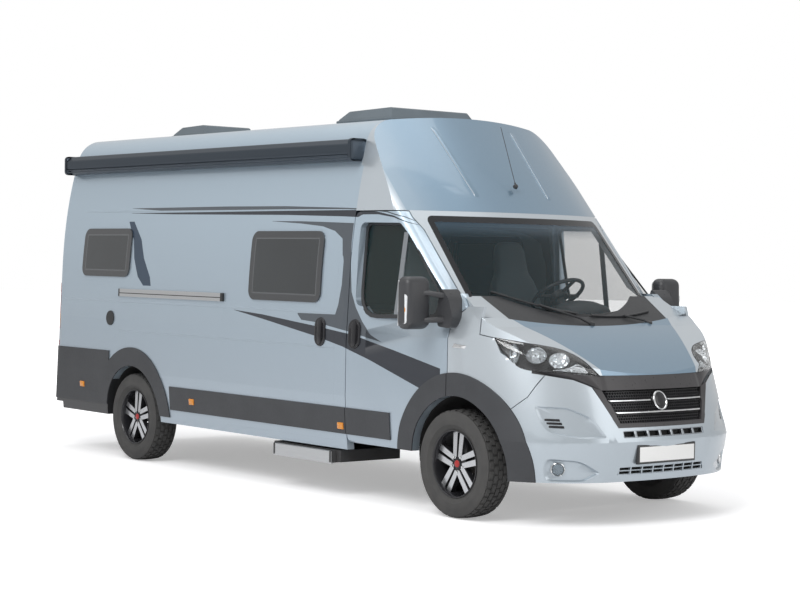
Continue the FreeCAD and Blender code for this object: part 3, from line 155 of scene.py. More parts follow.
class Finish:
    """One procedural material, read on object coordinates."""

    def __init__(self, name, **constants):
        self.material = bpy.data.materials.new(name)
        self.material.use_nodes = True
        self.tree = self.material.node_tree
        self.shader = self.tree.nodes["Principled BSDF"]
        self.output = self.tree.nodes["Material Output"]
        for key, value in constants.items():
            self.shader.inputs[key.replace("_", " ")].default_value = value
        self.place = self.add("ShaderNodeTexCoord", out="Object")
        self.x, self.y, self.z = (self.part(self.place, axis) for axis in "XYZ")

    def add(self, kind, ins=None, out=0, points=None, **settings):
        """Any node, with its settings first and then its sockets' values or links."""
        node = self.tree.nodes.new(kind)
        for key, value in settings.items():
            setattr(node, key, value)
        if points:
            curve = node.mapping.curves[0]
            curve.points[0].location = points[0]
            curve.points[1].location = points[-1]
            for at, value in points[1:-1]:
                curve.points.new(at, value)
            for point in curve.points:
                point.handle_type = "VECTOR"
            node.mapping.update()
        for key, value in (ins or {}).items():
            self.feed(node.inputs[key], value)
        return Field(self, node.outputs[out])

    def feed(self, socket, value):
        """A link from a field, or a plain value."""
        if isinstance(value, Field):
            self.tree.links.new(value.socket, socket)
        else:
            socket.default_value = value

    def math(self, operation, *values):
        """A Math node on fields and numbers."""
        return self.add("ShaderNodeMath", dict(enumerate(values)), operation=operation)

    def part(self, vector, axis):
        """One component of a vector."""
        return self.add("ShaderNodeSeparateXYZ", {"Vector": vector}, out=axis)

    def normal_part(self, axis):
        """One component of the surface's direction."""
        return self.part(self.add("ShaderNodeTexCoord", out="Normal"), axis)

    def mix(self, factor, first, second):
        """Colours mixed by a factor."""
        ins = {0: factor, 6: first, 7: second}
        return self.add("ShaderNodeMix", ins, out=2, data_type="RGBA")

    def scaled(self, x, y, z):
        """Object coordinates stretched for streaks."""
        return self.add(
            "ShaderNodeMapping", {"Vector": self.place, "Scale": (x, y, z)}, vector_type="POINT"
        )

    def noise(self, scale, detail=2.0, rough=0.5, vector=None):
        """Soft clouds."""
        ins = {"Vector": vector or self.place, "Scale": scale, "Detail": detail, "Roughness": rough}
        return self.add("ShaderNodeTexNoise", ins)

    def cells(self, scale, out="Distance"):
        """Small irregular cells."""
        return self.add("ShaderNodeTexVoronoi", {"Vector": self.place, "Scale": scale}, out=out)

    def bands(self, scale, axis, **ins):
        """Waves along an axis."""
        ins = {"Vector": self.place, "Scale": scale, **ins}
        return self.add("ShaderNodeTexWave", ins, bands_direction=axis)

    def flakes(self):
        """A number that differs from flake to flake of a metallic paint."""
        return self.part(self.cells(900.0, out="Color"), "X")

    def curve(self, along, points):
        """A value that follows straight runs between (position, value) points."""
        start, end = points[0][0], points[-1][0]
        values = [v for _, v in points]
        low, span = min(values), max(max(values) - min(values), 1e-6)
        share = [((p - start) / (end - start), (v - low) / span) for p, v in points]
        at = (along - start) / (end - start)
        return low + span * self.add("ShaderNodeFloatCurve", {"Value": at}, points=share)

    def strip(self, along, value, low, high):
        """Where a value lies between two curves, as far as they run."""
        between = (value > self.curve(along, low)) * (value < self.curve(along, high))
        return between * along.between(low[0][0], low[-1][0])

    def set(self, **links):
        """Links or values for the shader's own sockets."""
        for key, value in links.items():
            self.feed(self.shader.inputs[key.replace("_", " ")], value)

    def bump(self, height, strength, distance):
        """Fine relief of the surface."""
        ins = {"Height": height, "Strength": strength, "Distance": distance}
        self.set(Normal=self.add("ShaderNodeBump", ins))

    def blend_shader(self, factor, **constants):
        """A second shader over the first where the factor is 1."""
        node = self.tree.nodes.new("ShaderNodeBsdfPrincipled")
        for key, value in constants.items():
            self.feed(node.inputs[key.replace("_", " ")], value)
        mixed = self.add(
            "ShaderNodeMixShader",
            {0: factor, 1: Field(self, self.shader.outputs[0]), 2: Field(self, node.outputs[0])},
        )
        self.tree.links.new(mixed.socket, self.output.inputs["Surface"])


FINISHES = {}


def finish(name):
    """A finish made once and then shared."""
    if name not in FINISHES:
        FINISHES[name] = MAKERS[name](name)
    return FINISHES[name].material


# Stripes along the sides: the lower and the upper edge, as (x, z) points
UPPER_GREY = (
    [(-1.95, 2.058), (-1.5, 2.036), (0.24, 2.030), (0.98, 2.023), (1.24, 2.013),
     (1.435, 1.997), (1.594, 1.963), (1.70, 1.914)],
    [(-1.95, 2.060), (-0.58, 2.060), (0.23, 2.053), (0.98, 2.033), (1.24, 2.023),
     (1.435, 2.006), (1.594, 1.969), (1.70, 1.915)],
)
UPPER_DARK = (
    [(-1.95, 2.018), (-1.3, 2.005), (0.25, 1.988), (0.96, 1.972), (1.12, 1.966),
     (1.166, 1.984), (1.34, 1.984), (1.51, 1.963), (1.70, 1.904)],
    [(-1.95, 2.020), (0.24, 2.019), (0.95, 2.017), (1.12, 2.016), (1.33, 2.003),
     (1.51, 1.974), (1.70, 1.905)],
)
SWOOSH = (
    [(-0.322, 1.275), (0.067, 1.221), (0.459, 1.163), (0.722, 1.124), (1.05, 1.063),
     (1.367, 0.979), (1.753, 0.866), (2.10, 0.765)],
    [(-0.322, 1.277), (0.064, 1.254), (0.455, 1.218), (0.719, 1.195), (1.098, 1.156),
     (1.274, 1.126), (1.614, 1.064), (2.10, 0.968)],
)
SHOULDER_GREY = (
    [(0.085, 1.942), (0.455, 1.924), (0.72, 1.903), (0.871, 1.870), (0.97, 1.816),
     (0.99, 1.70), (1.08, 1.60)],
    [(0.085, 1.944), (0.45, 1.941), (0.71, 1.935), (1.08, 1.925)],
)
# The stripe up the door post: its rear and its front edge, as (z, x) points
POST_GREY = (
    [(1.112, 1.478), (1.142, 1.273), (1.172, 1.097), (1.222, 0.716), (1.232, 0.548),
     (1.27, 0.50), (1.281, 0.498), (1.283, 0.947), (1.355, 0.977), (1.495, 1.007),
     (1.655, 1.008), (1.816, 0.97), (1.925, 1.0)],
    [(1.112, 1.48), (1.156, 1.358), (1.195, 1.300), (1.247, 1.245), (1.339, 1.172),
     (1.444, 1.118), (1.603, 1.097), (1.763, 1.082), (1.925, 1.075)],
)
# The blue wave between the windows: its middle and its half width, as (z, x) points
WAVE_MIDDLE = [(1.43, -1.60), (1.50, -1.655), (1.65, -1.75), (1.80, -1.80), (1.95, -1.93)]
WAVE_HALF = [(1.43, 0.060), (1.50, 0.095), (1.70, 0.072), (1.86, 0.055), (1.95, 0.040)]
# Swages pressed along the sides, as (z, start, end)
SWAGES = ((1.292, -2.96, 0.95), (1.052, -2.01, 0.95), (2.036, -2.70, 0.93))
# Living-space windows, as (x0, x1, z0, z1)
WINDOWS = ((-2.65, -1.88, 1.495, 1.894), (-0.13, 0.77, 1.36, 1.87))


def stripe_masks(f):
    """Where the dark, the grey and the blue stripes lie on both sides."""
    side = abs(f.y) > SIDE_Y
    upper_grey, upper_dark, swoosh, shoulder = (
        f.strip(f.x, f.z, *edges) for edges in (UPPER_GREY, UPPER_DARK, SWOOSH, SHOULDER_GREY)
    )
    post = f.strip(f.z, f.x, *POST_GREY)
    off = abs(f.x - f.curve(f.z, WAVE_MIDDLE))
    wave = (off < f.curve(f.z, WAVE_HALF)) * f.z.between(WAVE_HALF[0][0], WAVE_HALF[-1][0])
    dark = f.math("MAXIMUM", upper_dark, swoosh) * side
    grey = f.math("MAXIMUM", f.math("MAXIMUM", upper_grey, shoulder), post) * side
    return dark, grey * (1.0 - swoosh), wave * side


def make_striped_paint(name):
    """The body's metallic paint, lighter towards the top as painted light, with its stripes, the
    dark rear quarters and the swages.
    """
    f = Finish(name, Metallic=0.55, Coat_Weight=0.7, Coat_Roughness=0.05)
    fleck = f.flakes()
    # Painted light: the paint turns lighter towards the top, as if lit from above
    base = f.mix(f.z.ramp(0.3, 2.6), tone(0.350, 0.415, 0.475), tone(0.415, 0.515, 0.600))
    base = f.mix(fleck * 0.10, base, tone(0.62, 0.70, 0.78))
    dark, grey, wave = stripe_masks(f)
    base = f.mix(grey, base, tone(0.085, 0.100, 0.118))
    base = f.mix(dark, base, tone(0.026, 0.031, 0.042))
    base = f.mix(wave, base, tone(0.018, 0.045, 0.085))
    quarter = (f.x < -2.10) * (f.z < 0.655) * (abs(f.y) > SIDE_Y)
    base = f.mix(quarter, base, tone(0.030, 0.031, 0.034))
    f.set(Base_Color=base)
    f.set(Roughness=0.30 + 0.06 * fleck + 0.04 * f.noise(3.0) + 0.25 * quarter)
    relief = f.noise(240.0, 1.0) * 0.012
    for z, start, end in SWAGES:
        groove = f.z.ramp(z - 0.009, z - 0.003) - f.z.ramp(z + 0.003, z + 0.009)
        relief = relief - groove * f.x.between(start, end) * (abs(f.y) > SIDE_Y)
    f.bump(relief, 0.8, 0.004)
    return f


def flake_coat(f, base, glint):
    """A base colour under metallic flakes and clear coat."""
    fleck = f.flakes()
    f.set(Base_Color=f.mix(fleck * 0.10, base, glint), Roughness=0.28 + 0.06 * fleck)
    f.bump(f.noise(240.0, 1.0), 0.03, 0.0004)
    return f


def make_nose_paint(name):
    """The blue of bonnet and roof front, with a painted highlight in silver on their shoulders and
    on the roof front's corners.
    """
    f = Finish(name, Metallic=0.60, Coat_Weight=0.8, Coat_Roughness=0.04)
    # Painted highlight: faces of the roof front that turn to the side are lightened to silver
    cheek_highlight = abs(f.normal_part("Y")).ramp(0.22, 0.60) * (f.z > 1.32)
    # Painted highlight: the bonnet's shoulders, where they fall away to the lamps, are lightened to
    # silver
    shoulder = (abs(f.y) > 0.74 - 0.54 * (f.x - 2.45)) * (f.z < 1.40)
    # Both painted highlights together, which mix the blue towards silver
    silver = f.math("MAXIMUM", cheek_highlight, shoulder)
    base = f.mix(silver, tone(0.180, 0.275, 0.365), tone(0.52, 0.57, 0.61))
    return flake_coat(f, base, tone(0.60, 0.70, 0.80))


def make_silver_paint(name):
    """The lighter metallic coat of wings, bumper and pillars, with painted light that lightens it
    towards the top.
    """
    f = Finish(name, Metallic=0.62, Coat_Weight=0.8, Coat_Roughness=0.04)
    # Painted light: the coat turns lighter towards the top, as if lit from above
    base = f.mix(f.z.ramp(0.4, 1.1), tone(0.40, 0.455, 0.50), tone(0.50, 0.55, 0.59))
    return flake_coat(f, base, tone(0.75, 0.80, 0.85))


def make_tail_lens(name):
    """Tall tail lamp: red with an amber and a clear field."""
    f = Finish(name, Roughness=0.12, Coat_Weight=0.8)
    ribs = f.bands(35.0, "Z")
    red = f.mix(ribs, tone(0.26, 0.008, 0.010), tone(0.40, 0.015, 0.018))
    base = f.mix(f.z.between(1.05, 1.16), red, tone(0.62, 0.22, 0.03))
    f.set(Base_Color=f.mix(f.z.between(0.93, 1.03), base, tone(0.62, 0.62, 0.62)))
    f.bump(ribs, 0.25, 0.001)
    return f


def make_grained(name, colour, rough, grain=520.0, depth=0.25):
    """Moulded plastic with a fine grain and faint marks."""
    f = Finish(name, Specular_IOR_Level=0.45)
    base = f.mix(f.noise(5.0, 4.0), colour, shade(colour, 1.35, 0.009))
    f.set(Base_Color=base, Roughness=rough + 0.14 * (f.noise(60.0, 3.0) - 0.5))
    f.bump(f.cells(grain), depth, 0.0006)
    return f


def make_metal(name, colour, rough):
    """Bare metal, brushed along the body."""
    f = Finish(name, Metallic=1.0)
    streak = f.noise(1.0, 3.0, vector=f.scaled(3.0, 400.0, 400.0))
    f.set(Base_Color=f.mix(streak, colour, shade(colour, 0.82)))
    f.set(Roughness=rough + 0.15 * (streak - 0.5))
    f.bump(streak, 0.06, 0.0003)
    return f


def make_glass(name, colour):
    """Solid clear plastic of the lamps."""
    f = Finish(name, Roughness=0.0, IOR=1.45, Transmission_Weight=1.0, Specular_IOR_Level=0.5)
    f.set(Base_Color=f.mix(f.noise(2.0, 3.0), colour, shade(colour, 0.92)))
    return f


def make_pane(name, colour, cover):
    """A thin pane: see-through, with a light tint and a reflecting skin."""
    f = Finish(name, Roughness=0.02, Specular_IOR_Level=0.9, Alpha=cover, Coat_Weight=1.0)
    f.set(Base_Color=f.mix(f.noise(2.0, 3.0), colour, shade(colour, 0.8)))
    return f


def make_window_unit(name):
    """Dark living-space windows: a satin frame, a light line, and a nearly black pane."""
    f = Finish(name, Coat_Weight=0.6, Coat_Roughness=0.02)
    pane = line = 0.0
    for x0, x1, z0, z1 in WINDOWS:
        off_x = abs(f.x - (x0 + x1) / 2) - (x1 - x0) / 2
        off_z = abs(f.z - (z0 + z1) / 2) - (z1 - z0) / 2
        off = f.math("MAXIMUM", off_x, off_z)
        pane = pane + (off < -0.052)
        line = line + off.between(-0.058, -0.049)
    smoke = f.mix(f.noise(1.3, 3.0), tone(0.010, 0.012, 0.014), tone(0.022, 0.027, 0.030))
    base = f.mix(pane, tone(0.030, 0.032, 0.035), smoke)
    f.set(Base_Color=f.mix(line, base, tone(0.075, 0.080, 0.085)), Roughness=0.30 - 0.26 * pane)
    f.bump(f.cells(500.0) * (1.0 - pane), 0.1, 0.0004)
    return f


def make_screen_glass(name):
    """Windscreen with its black printed border."""
    f = Finish(name, Roughness=0.02, Specular_IOR_Level=0.9, Coat_Weight=1.0)
    f.set(Base_Color=f.mix(f.z.ramp(1.75, 1.98), tone(0.010, 0.035, 0.045), tone(0.02, 0.06, 0.10)))
    f.set(Alpha=0.16 + 0.34 * f.z.ramp(1.82, 1.94))
    side = f.curve(f.z, [(1.26, 0.80), (1.40, 0.785), (1.98, 0.76)])
    foot = 1.33 + 0.16 * abs(f.y) * abs(f.y)
    clear = (abs(f.y) < side) * (f.z > foot) * (f.z < 1.935)
    f.blend_shader(1.0 - clear, Base_Color=tone(0.012, 0.013, 0.015), Roughness=0.12)
    return f


def make_tyre_rubber(name):
    """Black rubber with a little dust."""
    f = Finish(name, Specular_IOR_Level=0.3)
    dust = f.noise(9.0, 4.0)
    f.set(Base_Color=f.mix(dust, tone(0.040, 0.040, 0.041), tone(0.085, 0.083, 0.080)))
    f.set(Roughness=0.68 + 0.2 * dust)
    f.bump(f.noise(420.0, 2.0), 0.25, 0.0008)
    return f


def make_alloy(name):
    """Machined bright faces over black-painted pockets."""
    f = Finish(name, Coat_Weight=0.4, Coat_Roughness=0.08)
    face = abs(f.normal_part("Y")) > 0.93
    turned = f.noise(1.0, 2.0, vector=f.scaled(350.0, 30.0, 350.0))
    bright = f.mix(turned, tone(0.62, 0.63, 0.65), tone(0.50, 0.51, 0.53))
    f.set(Base_Color=f.mix(face, tone(0.016, 0.017, 0.019), bright))
    f.set(Metallic=face * 0.9, Roughness=0.36 - 0.12 * face + 0.08 * turned)
    f.bump(turned, 0.04, 0.0003)
    return f


def make_fabric(name, colour):
    """Woven upholstery cloth."""
    f = Finish(name, Sheen_Weight=0.25, Sheen_Roughness=0.5)
    cloth = f.bands(150.0, "Y") * 0.5 + f.bands(150.0, "Z") * 0.5
    base = f.mix(cloth * 0.5 + f.noise(30.0, 3.0) * 0.5, shade(colour, 0.78), colour)
    f.set(Base_Color=base, Roughness=0.85 + 0.1 * cloth)
    f.bump(cloth, 0.25, 0.0006)
    return f


def make_wood(name):
    """The furniture's light wood."""
    f = Finish(name, Coat_Weight=0.15)
    grain = f.noise(1.0, 6.0, 0.6, vector=f.scaled(4.0, 4.0, 60.0))
    rings = f.bands(1.4, "Z", Vector=f.scaled(1.0, 1.0, 9.0), Distortion=6.0, Detail=3.0)
    base = f.mix(grain * 0.6 + rings * 0.4, tone(0.36, 0.27, 0.18), tone(0.56, 0.45, 0.33))
    f.set(Base_Color=base, Roughness=0.35 + 0.2 * grain)
    f.bump(grain, 0.1, 0.0005)
    return f


def make_cowl(name):
    """The black cowl, painted where it runs out to the wings."""
    f = make_grained(name, tone(0.020, 0.021, 0.023), 0.45)
    outer = abs(f.y) > 0.735 + 0.25 * (f.z - 1.30)
    f.blend_shader(
        outer, Base_Color=tone(0.50, 0.55, 0.59), Metallic=0.6, Roughness=0.3, Coat_Weight=0.8
    )
    return f


def make_fittings(name):
    """The ribbed aluminium door rail with a painted shade along its groove, and the black wall vent
    behind it.
    """
    f = make_metal(name, tone(0.66, 0.67, 0.68), 0.30)
    # The black rail ends and the wall vent, and a painted shade along the rail's groove at z 1.360
    # to 1.3665
    ends = (f.x < -2.0) + f.x.between(-0.50, -0.4) + f.z.between(1.360, 1.3665)
    f.blend_shader(ends > 0.5, Base_Color=tone(0.016, 0.017, 0.018), Roughness=0.45)
    return f


def make_clear_amber(name):
    """A clear indicator with an amber bulb in it."""
    f = Finish(name, Roughness=0.08, Coat_Weight=0.8)
    up, ahead = f.z - 1.352, f.x - 2.04
    bulb = (up * up + ahead * ahead) < 0.00045
    flutes = f.bands(60.0, "Z")
    clear = f.mix(flutes, tone(0.60, 0.62, 0.64), tone(0.82, 0.84, 0.85))
    f.set(Base_Color=f.mix(bulb, clear, tone(0.85, 0.30, 0.02)))
    f.bump(flutes, 0.2, 0.001)
    return f


def make_plate_white(name):
    """The blank plate's white with a thin dark edge."""
    f = Finish(name, Roughness=0.32, Coat_Weight=0.4)
    edge = ((abs(f.y) > 0.252) + (abs(f.z - PLATE_Z) > 0.0475)) > 0.5
    base = f.mix(f.noise(40.0, 3.0) * 0.3, tone(0.80, 0.80, 0.79), tone(0.70, 0.70, 0.69))
    f.set(Base_Color=f.mix(edge, base, tone(0.03, 0.03, 0.03)))
    f.bump(f.cells(900.0), 0.03, 0.0003)
    return f


def make_lens(name, colour):
    """A fluted coloured lens."""
    f = Finish(name, Roughness=0.06, Transmission_Weight=0.35, Coat_Weight=0.6, IOR=1.45)
    flutes = f.bands(40.0, "Z")
    f.set(Base_Color=f.mix(flutes, colour, shade(colour, 1.5)))
    f.bump(flutes, 0.2, 0.001)
    return f


MAKERS = {
    "striped_paint": make_striped_paint,
    "nose_paint": make_nose_paint,
    "silver_paint": make_silver_paint,
    "clad_plastic": lambda n: make_grained(n, tone(0.028, 0.030, 0.034), 0.50),
    "black_plastic": lambda n: make_grained(n, tone(0.020, 0.021, 0.023), 0.40),
    "gloss_black": lambda n: make_grained(n, tone(0.012, 0.012, 0.014), 0.15, depth=0.03),
    "hatch_plastic": lambda n: make_grained(n, tone(0.085, 0.105, 0.12), 0.42),
    "liner": lambda n: make_grained(n, tone(0.012, 0.012, 0.012), 0.85, 90.0, 0.4),
    "chassis_coat": lambda n: make_grained(n, tone(0.022, 0.022, 0.023), 0.55, 120.0, 0.2),
    "black_step": lambda n: make_grained(n, tone(0.030, 0.030, 0.031), 0.5),
    "red_cap": lambda n: make_grained(n, tone(0.30, 0.012, 0.012), 0.3),
    "dash_plastic": lambda n: make_grained(n, tone(0.030, 0.032, 0.035), 0.6),
    "floor_sheet": lambda n: make_grained(n, tone(0.20, 0.19, 0.18), 0.5, 40.0, 0.1),
    "mirror_black": lambda n: make_grained(n, tone(0.030, 0.031, 0.034), 0.42, 700.0, 0.2),
    "satin_grey": lambda n: make_grained(n, tone(0.036, 0.034, 0.036), 0.30, depth=0.05),
    "cast_iron": lambda n: make_metal(n, tone(0.16, 0.15, 0.145), 0.6),
    "anodised": lambda n: make_metal(n, tone(0.60, 0.61, 0.62), 0.34),
    "awning_case": lambda n: make_metal(n, tone(0.082, 0.100, 0.122), 0.42),
    "exhaust_steel": lambda n: make_metal(n, tone(0.30, 0.28, 0.26), 0.45),
    "chrome": lambda n: make_metal(n, tone(0.78, 0.79, 0.80), 0.10),
    "satin_silver": lambda n: make_metal(n, tone(0.42, 0.45, 0.48), 0.30),
    "mirror_silver": lambda n: make_metal(n, tone(0.85, 0.86, 0.87), 0.03),
    "tinted_glass": lambda n: make_pane(n, tone(0.010, 0.035, 0.035), 0.20),
    "dark_glass": lambda n: make_pane(n, tone(0.010, 0.012, 0.013), 0.88),
    "clear_lens": lambda n: make_glass(n, tone(0.93, 0.95, 0.96)),
    "smoked_lens": lambda n: make_glass(n, tone(0.25, 0.30, 0.34)),
    "red_lens": lambda n: make_lens(n, tone(0.38, 0.008, 0.010)),
    "amber_lens": lambda n: make_lens(n, tone(0.85, 0.26, 0.01)),
    "light_fabric": lambda n: make_fabric(n, tone(0.11, 0.14, 0.155)),
    "warm_fabric": lambda n: make_fabric(n, tone(0.50, 0.46, 0.40)),
    "alloy": make_alloy,
    "tyre": make_tyre_rubber,
    "tail_lens": make_tail_lens,
    "window_unit": make_window_unit,
    "screen_glass": make_screen_glass,
    "wood": make_wood,
    "cowl": make_cowl,
    "fittings": make_fittings,
    "clear_amber": make_clear_amber,
    "plate_white": make_plate_white,
}

NODE_FINISHES = {
    "striped_paint": [
        "side_wall_right", "side_wall_left", "sliding_door", "cab_door_right", "cab_door_left",
        "rear_frame", "rear_door_right", "rear_door_left", "roof_panel",
    ],
    "nose_paint": ["roof_cap", "bonnet"],
    "silver_paint": ["windscreen_frame", "front_wings", "front_bumper"],
    "clad_plastic": ["door_trim_right", "door_trim_left", "side_trims", "rear_bumper"],
    "black_plastic": [
        "mirror_right", "mirror_left", "wipers", "grilles", "fuel_tank", "steering_wheel",
    ],
    "cowl": ["cowl"],
    "fittings": ["side_fittings"],
    "window_unit": ["side_windows"],
    "tinted_glass": ["cab_glass_right", "cab_glass_left"],
    "dark_glass": ["rear_glass_right", "rear_glass_left"],
    "screen_glass": ["windscreen"],
    "hatch_plastic": ["roof_hatches"],
    "clear_lens": ["front_lamps"],
    "tail_lens": ["tail_lamps"],
    "awning_case": ["awning"],
    "floor_sheet": ["floor_pan"],
    "liner": ["wheel_housings"],
    "chassis_coat": ["chassis_frame", "front_suspension", "rear_axle"],
    "cast_iron": ["knuckle_right", "knuckle_left", "engine_block"],
    "exhaust_steel": ["exhaust"],
    "anodised": ["entry_step"],
    "black_step": ["step_housing"],
    "dash_plastic": ["dashboard"],
    "light_fabric": ["cab_seats"],
    "warm_fabric": ["cushions"],
    "wood": ["furniture"],
    "tyre": ["tyre_front_right", "tyre_front_left", "tyre_rear_right", "tyre_rear_left"],
    "alloy": ["rim_front_right", "rim_front_left", "rim_rear_right", "rim_rear_left"],
}


def sharpen(mesh, degrees):
    """Edges that turn further than an angle are drawn sharp."""
    mesh.set_sharp_from_angle(angle=math.radians(degrees))


def piece(name, bm, look, body, smooth=35.0, replaces=(), slot=None):
    """Turn a bmesh into a finished piece that rides on a body."""
    bmesh.ops.recalc_face_normals(bm, faces=bm.faces)
    for face in bm.faces:
        face.smooth = True
    mesh = bpy.data.meshes.new(name)
    bm.to_mesh(mesh)
    bm.free()
    sharpen(mesh, smooth)
    obj = bpy.data.objects.new(name, mesh)
    bpy.context.scene.collection.objects.link(obj)
    mesh.materials.append(finish(look))
    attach(obj, body)
    if replaces:
        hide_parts(*replaces)
    return obj


def edges_of(verts):
    """Every edge that meets some vertices, once."""
    return list({edge for vert in verts for edge in vert.link_edges})


def lathe(bm, outline, steps):
    """Spin a closed outline of (across, radius) points about the y axis."""
    verts = [bm.verts.new((0, across, radius)) for across, radius in outline]
    edges = [bm.edges.new((verts[i - 1], verts[i])) for i in range(1, len(verts))]
    edges.append(bm.edges.new((verts[-1], verts[0])))
    bmesh.ops.spin(
        bm, geom=verts + edges, cent=(0, 0, 0), axis=(0, 1, 0), angle=math.tau, steps=steps,
        use_merge=True,
    )
    bmesh.ops.remove_doubles(bm, verts=bm.verts, dist=1e-5)


def block(bm, low, high, bevel, segments=2):
    """A bevelled box between two corners."""
    low, high = Vector(low), Vector(high)
    made = bmesh.ops.create_cube(bm, size=1.0)["verts"]
    bmesh.ops.scale(bm, vec=high - low, verts=made)
    bmesh.ops.translate(bm, vec=(low + high) / 2, verts=made)
    bmesh.ops.bevel(
        bm, geom=edges_of(made), offset=bevel, segments=segments, affect="EDGES", profile=0.5,
        material=-1,
    )


def drum(bm, centre, axis, radius, length, steps, taper=1.0, *, bevel):
    """A round piece about an axis, centred at a point, with bevelled rims."""
    turn = Vector((0, 0, 1)).rotation_difference(Vector(axis)).to_matrix().to_4x4()
    made = bmesh.ops.create_cone(
        bm, cap_ends=True, segments=steps, radius1=radius, radius2=radius * taper, depth=length,
        matrix=Matrix.Translation(Vector(centre)) @ turn,
    )["verts"]
    rims = [edge for edge in edges_of(made) if edge.calc_face_angle() > 1.0]
    bmesh.ops.bevel(
        bm, geom=rims, offset=bevel, segments=2, affect="EDGES", profile=0.5, material=-1
    )


TREAD_STEPS = 144
GROOVE = 0.008
TREAD_RIBS = (
    (-0.088, -0.062), (-0.052, -0.023), (-0.014, 0.014), (0.023, 0.052), (0.062, 0.088),
)
# The tyre's wall as (across, radius), from the bead up
TYRE_WALL = [
    (0.0845, 0.2108), (0.0865, 0.2245), (0.097, 0.236), (0.1065, 0.252), (0.1105, 0.256),
    (0.1122, 0.275), (0.1118, 0.296), (0.1085, 0.302), (0.1080, 0.318), (0.1035, 0.332),
    (0.0970, 0.3425),
]


def groove_point(across):
    """The foot of the tread's grooves, as (across, radius)."""
    return across, 0.3549 - 0.0055 * (across / 0.09) ** 2 - GROOVE


def make_tyre(end, hand, x, y, side):
    """A road tyre with ribs cut into blocks."""
    bm = bmesh.new()
    tread = [groove_point(a) for low, high in TREAD_RIBS for a in (low, (low + high) / 2, high)]
    lathe(bm, [(-a, r) for a, r in TYRE_WALL] + tread + TYRE_WALL[::-1], TREAD_STEPS)
    step = math.tau / TREAD_STEPS
    for row, (low, high) in enumerate(TREAD_RIBS):
        chosen = []
        for face in bm.faces:
            middle = face.calc_center_median()
            if low < middle.y < high and math.hypot(middle.x, middle.z) > 0.335:
                index = int((math.atan2(middle.z, middle.x) / step) // 1) + row * 2
                if index % 4 != 3:
                    chosen.append(face)
        made = bmesh.ops.extrude_face_region(bm, geom=chosen)["geom"]
        for vert in (g for g in made if isinstance(g, bmesh.types.BMVert)):
            vert.co += Vector((vert.co.x, 0, vert.co.z)).normalized() * GROOVE
        bmesh.ops.delete(bm, geom=chosen, context="FACES")
    bmesh.ops.remove_doubles(bm, verts=bm.verts, dist=1e-6)
    bmesh.ops.translate(bm, vec=(x, side * y, AXLE_Z), verts=bm.verts)
    name = f"{end}_{hand}"
    piece("road_tyre_" + name, bm, "tyre", "wheel_" + name, 30.0, ["tyre_" + name], "tyre")


class View:
    """A flat picture of the body: two coordinates of an outline and the way inwards."""

    def __init__(self, across, up, into, start):
        self.across, self.up = Vector(across), Vector(up)
        self.into, self.start = Vector(into).normalized(), Vector(start)

    def at(self, a, b, depth):
        """The place of an outline's point at a depth."""
        return self.start + self.across * a + self.up * b + self.into * depth


HALF_ROOT = math.sqrt(0.5)
CORNER = View((HALF_ROOT, HALF_ROOT, 0), (0, 0, 1), (-1, 1, 0), (2.6, -2.6, 0))
FRONT = View((0, 1, 0), (0, 0, 1), (-1, 0, 0), (4.0, 0, 0))
RIGHT = View((1, 0, 0), (0, 0, 1), (0, 1, 0), (0, -2.0, 0))
REAR = View((0, 1, 0), (0, 0, 1), (1, 0, 0), (-4.0, 0, 0))
CABIN = View((0, 1, 0), (0, 0, 1), (1, 0, 0), (1.2, 0, 0))
ABOVE_START = 3.0
ABOVE = View((1, 0, 0), (0, 1, 0), (0, 0, -1), (0, 0, ABOVE_START))


class Skin:
    """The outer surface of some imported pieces, looked at along a view."""

    probe = 0.005

    def __init__(self, *nodes):
        bm = bmesh.new()
        for node in nodes:
            bm.from_mesh(NODES[node].data)
        self.tree = BVHTree.FromBMesh(bm)
        bm.free()

    def depth(self, view, a, b):
        """Distance inwards to the surface, steady across the gaps between panels."""
        found = []
        for da, db in ((0, 0), (1, 0), (-1, 0), (0, 1), (0, -1)):
            start = view.at(a + da * self.probe, b + db * self.probe, 0.0)
            hit = self.tree.ray_cast(start, view.into)[3]
            if hit is not None:
                found.append(hit)
        return sorted(found)[len(found) // 2] if found else None


class Bow:
    """The nose's bow carried smoothly across the grille's opening."""

    low, high, bulge = 0.628, 0.960, 0.028
    half_width, top = 0.56, 0.955

    def __init__(self, skin):
        self.skin = skin

    def depth(self, view, a, b):
        if abs(a) > self.half_width or b > self.top:
            return self.skin.depth(view, a, b)
        foot, head = (self.skin.depth(view, a, z) for z in (self.low, self.high))
        share = (b - self.low) / (self.high - self.low)
        return foot + (head - foot) * share - self.bulge * share * (1 - share)


class Tilt:
    """A flat pane standing in a cab door, sloping inwards as it rises."""

    foot, slope, near = 1.35, 0.145, 1.007

    def depth(self, view, a, b):
        return self.near + self.slope * (b - self.foot)


def rounded(points, radii, steps=5):
    """An outline with its corners drawn as short curves."""
    if isinstance(radii, (int, float)):
        radii = [radii] * len(points)
    out = []
    count = len(points)
    for i, radius in enumerate(radii):
        before, here, after = (Vector(points[(i + k) % count]) for k in (-1, 0, 1))
        if radius == 0:
            out.append(tuple(here))
            continue
        reach = [min(radius, (other - here).length * 0.48) for other in (before, after)]
        a = here + (before - here).normalized() * reach[0]
        b = here + (after - here).normalized() * reach[1]
        for k in range(steps + 1):
            t = k / steps
            out.append(tuple(a * (1 - t) ** 2 + here * (2 * t * (1 - t)) + b * t**2))
    return out


def rect(a0, a1, b0, b1, radius=0.0):
    """A rectangle's outline, with round corners where a radius is given."""
    corners = [(a0, b0), (a1, b0), (a1, b1), (a0, b1)]
    return rounded(corners, radius) if radius else corners


def ellipse(a, b, half_a, half_b, count):
    """A round outline."""
    turns = [math.tau * k / count for k in range(count)]
    return [(a + half_a * math.cos(turn), b + half_b * math.sin(turn)) for turn in turns]


